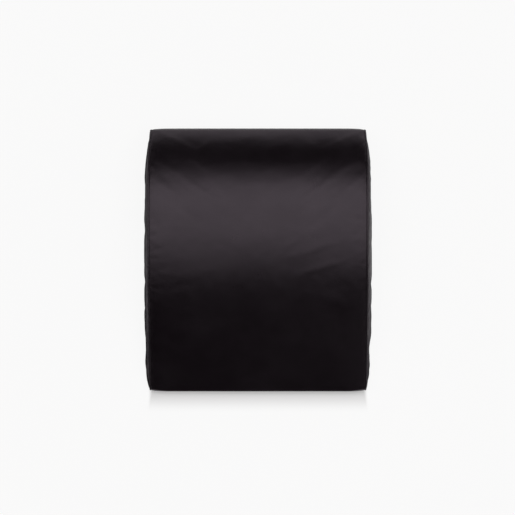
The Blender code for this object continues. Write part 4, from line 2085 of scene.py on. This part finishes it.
    def tab_blank(self) -> bpy.types.Object:
        """Pull tab's outline with its hole, flat about the hinge's axis.

        Returns:
            The blank.
        """
        depth, wide = self.tab_half_depth, self.tab_end_half
        blank = box_piece("pull_tab", (-self.tab_length, -depth, -wide), (depth, depth, wide))
        far = -self.tab_length
        with editing(blank):
            choose(blank, Pick.EDGE, lambda at, way: abs(way.y) > ALONG and at.x < far + NEAR)
            bpy.ops.mesh.bevel(offset=wide * self.tab_end_share, segments=self.tab_end_steps)
            cut_x(-self.hole_end)
            choose(blank, Pick.POINT, lambda at, way: at.x > -self.hole_end - NEAR)
            widen((1, 1, self.tab_head_half / wide))
            cut_x(-depth)
            cut_z(-self.hole_half, self.hole_half)
            choose(
                blank, Pick.FACE,
                lambda at, way: abs(way.y) > ALONG and abs(at.z) < self.hole_half
                and -self.hole_end < at.x < -depth,
            )
            bpy.ops.mesh.bridge_edge_loops()
        return blank

    def build_tab(self) -> None:
        """Pull tab with a sunk, ribbed grip on both faces."""
        tab = self.tab_blank()
        first, last = self.grip
        with editing(tab):
            cut_x(first, last)
            choose(
                tab, Pick.FACE,
                lambda at, way: abs(way.y) > ALONG and abs(at.z) < self.hole_half
                and first < at.x < last,
            )
            bpy.ops.mesh.inset(thickness=self.grip_rim, use_individual=True)
            widen((1, self.grip_depth_share, 1))
        soften(tab, self.tab_round)
        rib = box_piece("rib", [-half for half in self.rib_half], self.rib_half)
        soften(rib, self.rib_round)
        gaps = (last - first) / (self.ribs + 1)
        xs = [first + gaps * (step + 1) for step in range(self.ribs)]
        places = [Matrix.Translation((x, 0, 0)) for x in xs]
        tab = join("pull_tab", [tab, repeat("tab_ribs", rib, places)])
        smooth(tab, degrees=35)
        x, y, z = self.middle
        shift(tab, (x, y + self.tab_axis, z))
        finish_piece(tab, self.finishes.enamel, Body.TAB, ["zip_pull_tab"])


@dataclass
class Stitching:
    """Rows of thread along the zip's opening and round its end covers."""

    form: MatForm
    finishes: Finishes
    pitch: float = 0.0031
    length: float = 0.0025
    radius: float = 0.00022
    edge_gap: float = 0.0018
    end_cover_x: float = 0.1287
    cover_gap: float = 0.0017
    cover_run: float = 0.0155
    cover_edge: float = 0.0012
    cover_count: int = 5
    end_share: float = 0.3
    sunk_share: float = 0.6
    proud_share: float = 0.35
    behind: float = 0.25

    def stitch(self) -> bpy.types.Object:
        """One stitch along X, both ends drawn into the vinyl.

        Returns:
            The stitch, about the origin.
        """
        bpy.ops.object.select_all(action="DESELECT")
        bpy.ops.mesh.primitive_uv_sphere_add(segments=8, ring_count=6, radius=self.radius)
        stitch = bpy.context.object
        stitch.name = "stitch"
        with editing(stitch):
            bpy.ops.mesh.select_all(action="SELECT")
            bpy.ops.transform.rotate(
                value=math.pi / 2, orient_axis="Y", center_override=(0.0, 0.0, 0.0)
            )
            widen((self.length / 2 / self.radius, 1, 1))
            choose(stitch, Pick.POINT, lambda at, way: abs(at.x) > self.length * self.end_share)
            bpy.ops.transform.translate(value=(0, -self.sunk_share * self.radius, 0))
        return stitch

    def place_on(self, piece: bpy.types.Object, x: float, z: float, upright: bool) -> Matrix:
        """Transform that lays a stitch on the outer face of a piece.

        Args:
            piece: Piece that it is sewn through.
            x: Place across the mat.
            z: Height.
            upright: Whether the stitch runs along Z.

        Returns:
            The transform.
        """
        found, place, _, _ = piece.ray_cast(Vector((x, self.behind, z)), Vector((0, -1, 0)))
        if not found:
            raise ValueError(f"no {piece.name} behind x {x:.4f}, z {z:.4f}")
        turn = Matrix.Rotation(math.pi / 2 if upright else 0.0, 4, "Y")
        lift = Vector((0, self.radius * self.proud_share, 0))
        return Matrix.Translation(place + lift) @ turn

    def sew(self, name: str, places: Sequence[Matrix]) -> None:
        """Put one stitch at each place, as one piece.

        Args:
            name: Piece's name.
            places: Transform of each stitch.
        """
        row = repeat(name, self.stitch(), places)
        smooth(row, degrees=60)
        finish_piece(row, self.finishes.thread, Body.MAT)

    def build(self) -> None:
        """Both long rows, and a box of stitches on each end cover."""
        bpy.context.view_layer.update()
        form = self.form
        reach = self.end_cover_x + self.cover_run
        count = int(2 * reach / self.pitch)
        for row in Row:
            strip = bpy.data.objects[f"rear_strip_{row.word}"]
            z = form.chain_z + row.value * (form.opening_half + self.edge_gap)
            places = [
                self.place_on(strip, (step - count / 2) * self.pitch, z, False)
                for step in range(count + 1)
            ]
            self.sew(f"stitching_{row.word}", places)
        for side in Side:
            cover = bpy.data.objects[f"zip_end_cover_{side.word}"]
            inner = self.end_cover_x + self.cover_gap
            half = form.opening_half - form.fit_gap - self.cover_edge
            runs = [inner + self.pitch * (step + 0.5) for step in range(self.cover_count)]
            places = [
                self.place_on(cover, side.value * run, form.chain_z + z, False)
                for z in (-half, half) for run in runs
            ]
            places += [
                self.place_on(cover, side.value * inner, form.chain_z + z, True)
                for z in (-half / 2, half / 2)
            ]
            self.sew(f"stitching_{side.word}", places)


@dataclass(frozen=True)
class Softbox:
    """Flat lamp overhead, its edges given as angles off the vertical above the mat."""

    name: str
    front: float
    rear: float
    radiance: float
    left: float = -45.0
    right: float = 45.0

    def build(self, height: float) -> None:
        """Hang the lamp, facing down.

        Args:
            height: Height above the floor.
        """
        edges = (self.left, self.right, self.front, self.rear)
        left, right, front, rear = (height * math.tan(math.radians(edge)) for edge in edges)
        data = bpy.data.lights.new(self.name, "AREA")
        data.shape = "RECTANGLE"
        data.size, data.size_y = right - left, rear - front
        data.energy = self.radiance * math.pi * data.size * data.size_y
        lamp = bpy.data.objects.new(self.name, data)
        lamp.location = ((left + right) / 2, (front + rear) / 2, height)
        bpy.context.scene.collection.objects.link(lamp)


@dataclass
class Studio:
    """Camera, floor, sky and lamps."""

    distance: float = 3.0
    frame_width: float = 0.7298
    target: Point = (-0.0007, 0.0038, 0.0)
    sensor: float = 36.0
    floor_colour: Colour = (0.94, 0.925, 0.92)
    floor_roughness: float = 0.9
    floor_specular: float = 0.1
    floor_seen: float = 0.90
    shadow_seen: float = 0.15
    shadow_run: Span = (-0.006, 0.032)
    shadow_half: float = 0.148
    shadow_edge: float = 0.008
    shadow_end: Span = (0.02, 0.03)
    under_run: Span = (0.110, 0.180)
    under_draw: float = 0.0055
    under_inset: Span = (0.0045, 0.0015)
    near_run: Span = (0.002, 0.030)
    # Painted shade on the floor's glow beside the mat's flanks, as mirrored rays see it, longer on
    # the left.
    painted_side_shade_run: Span = (0.004, 0.055)
    painted_side_shade: float = 0.04
    painted_shade_left_stretch: float = 2.2
    wall_angle: float = 15.0
    wall_light: float = 1.50
    dim_wall_light: float = 0.85
    dim_run: Span = (-0.8, 0.1)
    wall_edge: float = 0.05
    sky_light: float = 0.02
    floor_size: float = 16.0
    floor_drop: float = 0.0003
    lamp_height: float = 3.4
    lamps: tuple[Softbox, ...] = (
        Softbox("low_softbox", -36.0, -16.0, 0.02),
        Softbox("low_right_softbox", -37.0, -18.0, 1.70, 12.0, 40.0),
        Softbox("front_softbox", -16.0, -1.0, 0.93),
        Softbox("main_softbox", -1.0, 22.0, 1.74),
        Softbox("rear_softbox", 22.0, 35.0, 0.50),
    )

    def build(self) -> None:
        """Everything round the mat."""
        self.add_camera()
        self.add_floor()
        self.add_world()
        for lamp in self.lamps:
            lamp.build(self.lamp_height)
        bpy.context.scene.view_settings.view_transform = "Standard"

    def add_camera(self) -> None:
        """Camera straight above the mat, at the photograph's framing."""
        data = bpy.data.cameras.new("camera")
        data.sensor_width = self.sensor
        data.lens = data.sensor_width * self.distance / self.frame_width
        camera = bpy.data.objects.new("camera", data)
        camera.location = (self.target[0], self.target[1], self.distance)
        bpy.context.scene.collection.objects.link(camera)
        bpy.context.scene.camera = camera

    def add_floor(self) -> None:
        """White floor whose material mixes by light path.

        The camera sees an even white, except in a strip before the front edge and under the mat:
        there less white glow is mixed in, so the real soft shadow shows, made darker by painted
        shade. Rays mirrored by the mat see painted shade close beside the mat, where the glow itself
        is darkened, and the floor darker still under it.
        """
        bpy.ops.object.select_all(action="DESELECT")
        place = (0, 0, -self.floor_drop)
        bpy.ops.mesh.primitive_plane_add(size=self.floor_size, location=place)
        floor = bpy.context.object
        floor.name = "studio_floor"
        material = bpy.data.materials.new("studio_floor")
        material.use_nodes = True
        graph = Graph(material.node_tree)
        shader = material.node_tree.nodes["Principled BSDF"]
        shader.inputs["Base Color"].default_value = (*self.floor_colour, 1)
        shader.inputs["Roughness"].default_value = self.floor_roughness
        shader.inputs["Specular IOR Level"].default_value = self.floor_specular
        across, along, _ = graph.axes()
        half_wide, half_long = CAD_BOX[1][:2]
        aside, ahead = across.maths("ABSOLUTE"), -half_long
        # Painted shade: a strip before the front edge gets less white glow, darker on top of the
        # real shadow there.
        before = along.within(*(ahead - run for run in self.shadow_run))
        beside = aside.within(self.shadow_half, self.shadow_half + self.shadow_edge)
        behind = along.within(*(ahead + run for run in self.shadow_end))
        kept_white = before.maths("MAXIMUM", beside.maths("MAXIMUM", behind))
        past_side = (aside - half_wide).maths("MAXIMUM", 0.0)
        past_end = (along.maths("ABSOLUTE") - half_long).maths("MAXIMUM", 0.0)
        clear = (past_side**2.0 + past_end**2.0) ** 0.5
        rays = graph.add("ShaderNodeLightPath", output="Is Camera Ray")
        outputs = rays.socket.node.outputs
        mirrored = Signal(graph, outputs["Is Glossy Ray"])
        mirrored += Signal(graph, outputs["Is Transmission Ray"])
        open_floor = rays * kept_white + mirrored * clear.within(*self.near_run)
        # Under the mat and its flanks less white glow is mixed in as well: painted shade over the
        # real shadow.
        drawn_in = along.maths("ABSOLUTE").within(*self.under_run) * self.under_draw
        under = (aside + drawn_in).maths("LESS_THAN", half_wide - self.under_inset[0])
        under *= along.maths("ABSOLUTE").maths("LESS_THAN", half_long - self.under_inset[1])
        open_floor *= 1.0 - under
        share = open_floor * (self.floor_seen - self.shadow_seen)
        share += (rays + mirrored) * self.shadow_seen
        # Painted shade: mirrored rays see the glow beside the mat darkened near its flanks, over a
        # longer run on the left.
        on_left = across.maths("LESS_THAN", 0.0)
        reach = clear * (1.0 - on_left * (1.0 - 1.0 / self.painted_shade_left_stretch))
        lift = reach.within(*self.painted_side_shade_run) * (self.floor_seen - self.painted_side_shade) + self.painted_side_shade
        past = mirrored * past_side.maths("GREATER_THAN", 0.0)
        share = share.maths("MAXIMUM", past)
        glow = graph.add("ShaderNodeEmission", None, {"Color": 1.0 - past * (1.0 - lift)})
        mixed = {0: share, 1: Signal(graph, shader.outputs[0]), 2: glow}
        result = graph.add("ShaderNodeMixShader", None, mixed)
        graph.feed(material.node_tree.nodes["Material Output"].inputs["Surface"], result)
        floor.data.materials.append(material)

    def add_world(self) -> None:
        """White walls round the floor, dimmer to the left, under a dark ceiling."""
        world = bpy.data.worlds.new("studio")
        world.use_nodes = True
        bpy.context.scene.world = world
        graph = Graph(world.node_tree)
        way = graph.add("ShaderNodeTexCoord", output="Generated")
        split = graph.add("ShaderNodeSeparateXYZ", None, {0: way}).socket.node
        right, up = Signal(graph, split.outputs[0]), Signal(graph, split.outputs[2])
        edge = math.sin(math.radians(self.wall_angle))
        above = up.within(edge - self.wall_edge, edge + self.wall_edge)
        gain = self.wall_light - self.dim_wall_light
        wall = self.dim_wall_light + right.within(*self.dim_run) * gain
        light = wall * (1.0 - above) + above * self.sky_light
        graph.feed(world.node_tree.nodes["Background"].inputs["Strength"], light)
        graph.feed(world.node_tree.nodes["Background"].inputs["Color"], (1.0, 1.0, 1.0, 1.0))


def main() -> None:
    """Build and dress the mat, then set it in the studio."""
    logging.basicConfig(level=logging.INFO, format="%(name)s: %(message)s")
    finishes = Finishes()
    form = MatForm()
    Core(finishes).build()
    Cover(form, finishes).build()
    Piping(form, finishes).build()
    zip_chain = Zip(form, finishes)
    zip_chain.build()
    Slider(zip_chain, finishes).build()
    Stitching(form, finishes).build()
    Studio().build()


if __name__ == "__main__":
    main()
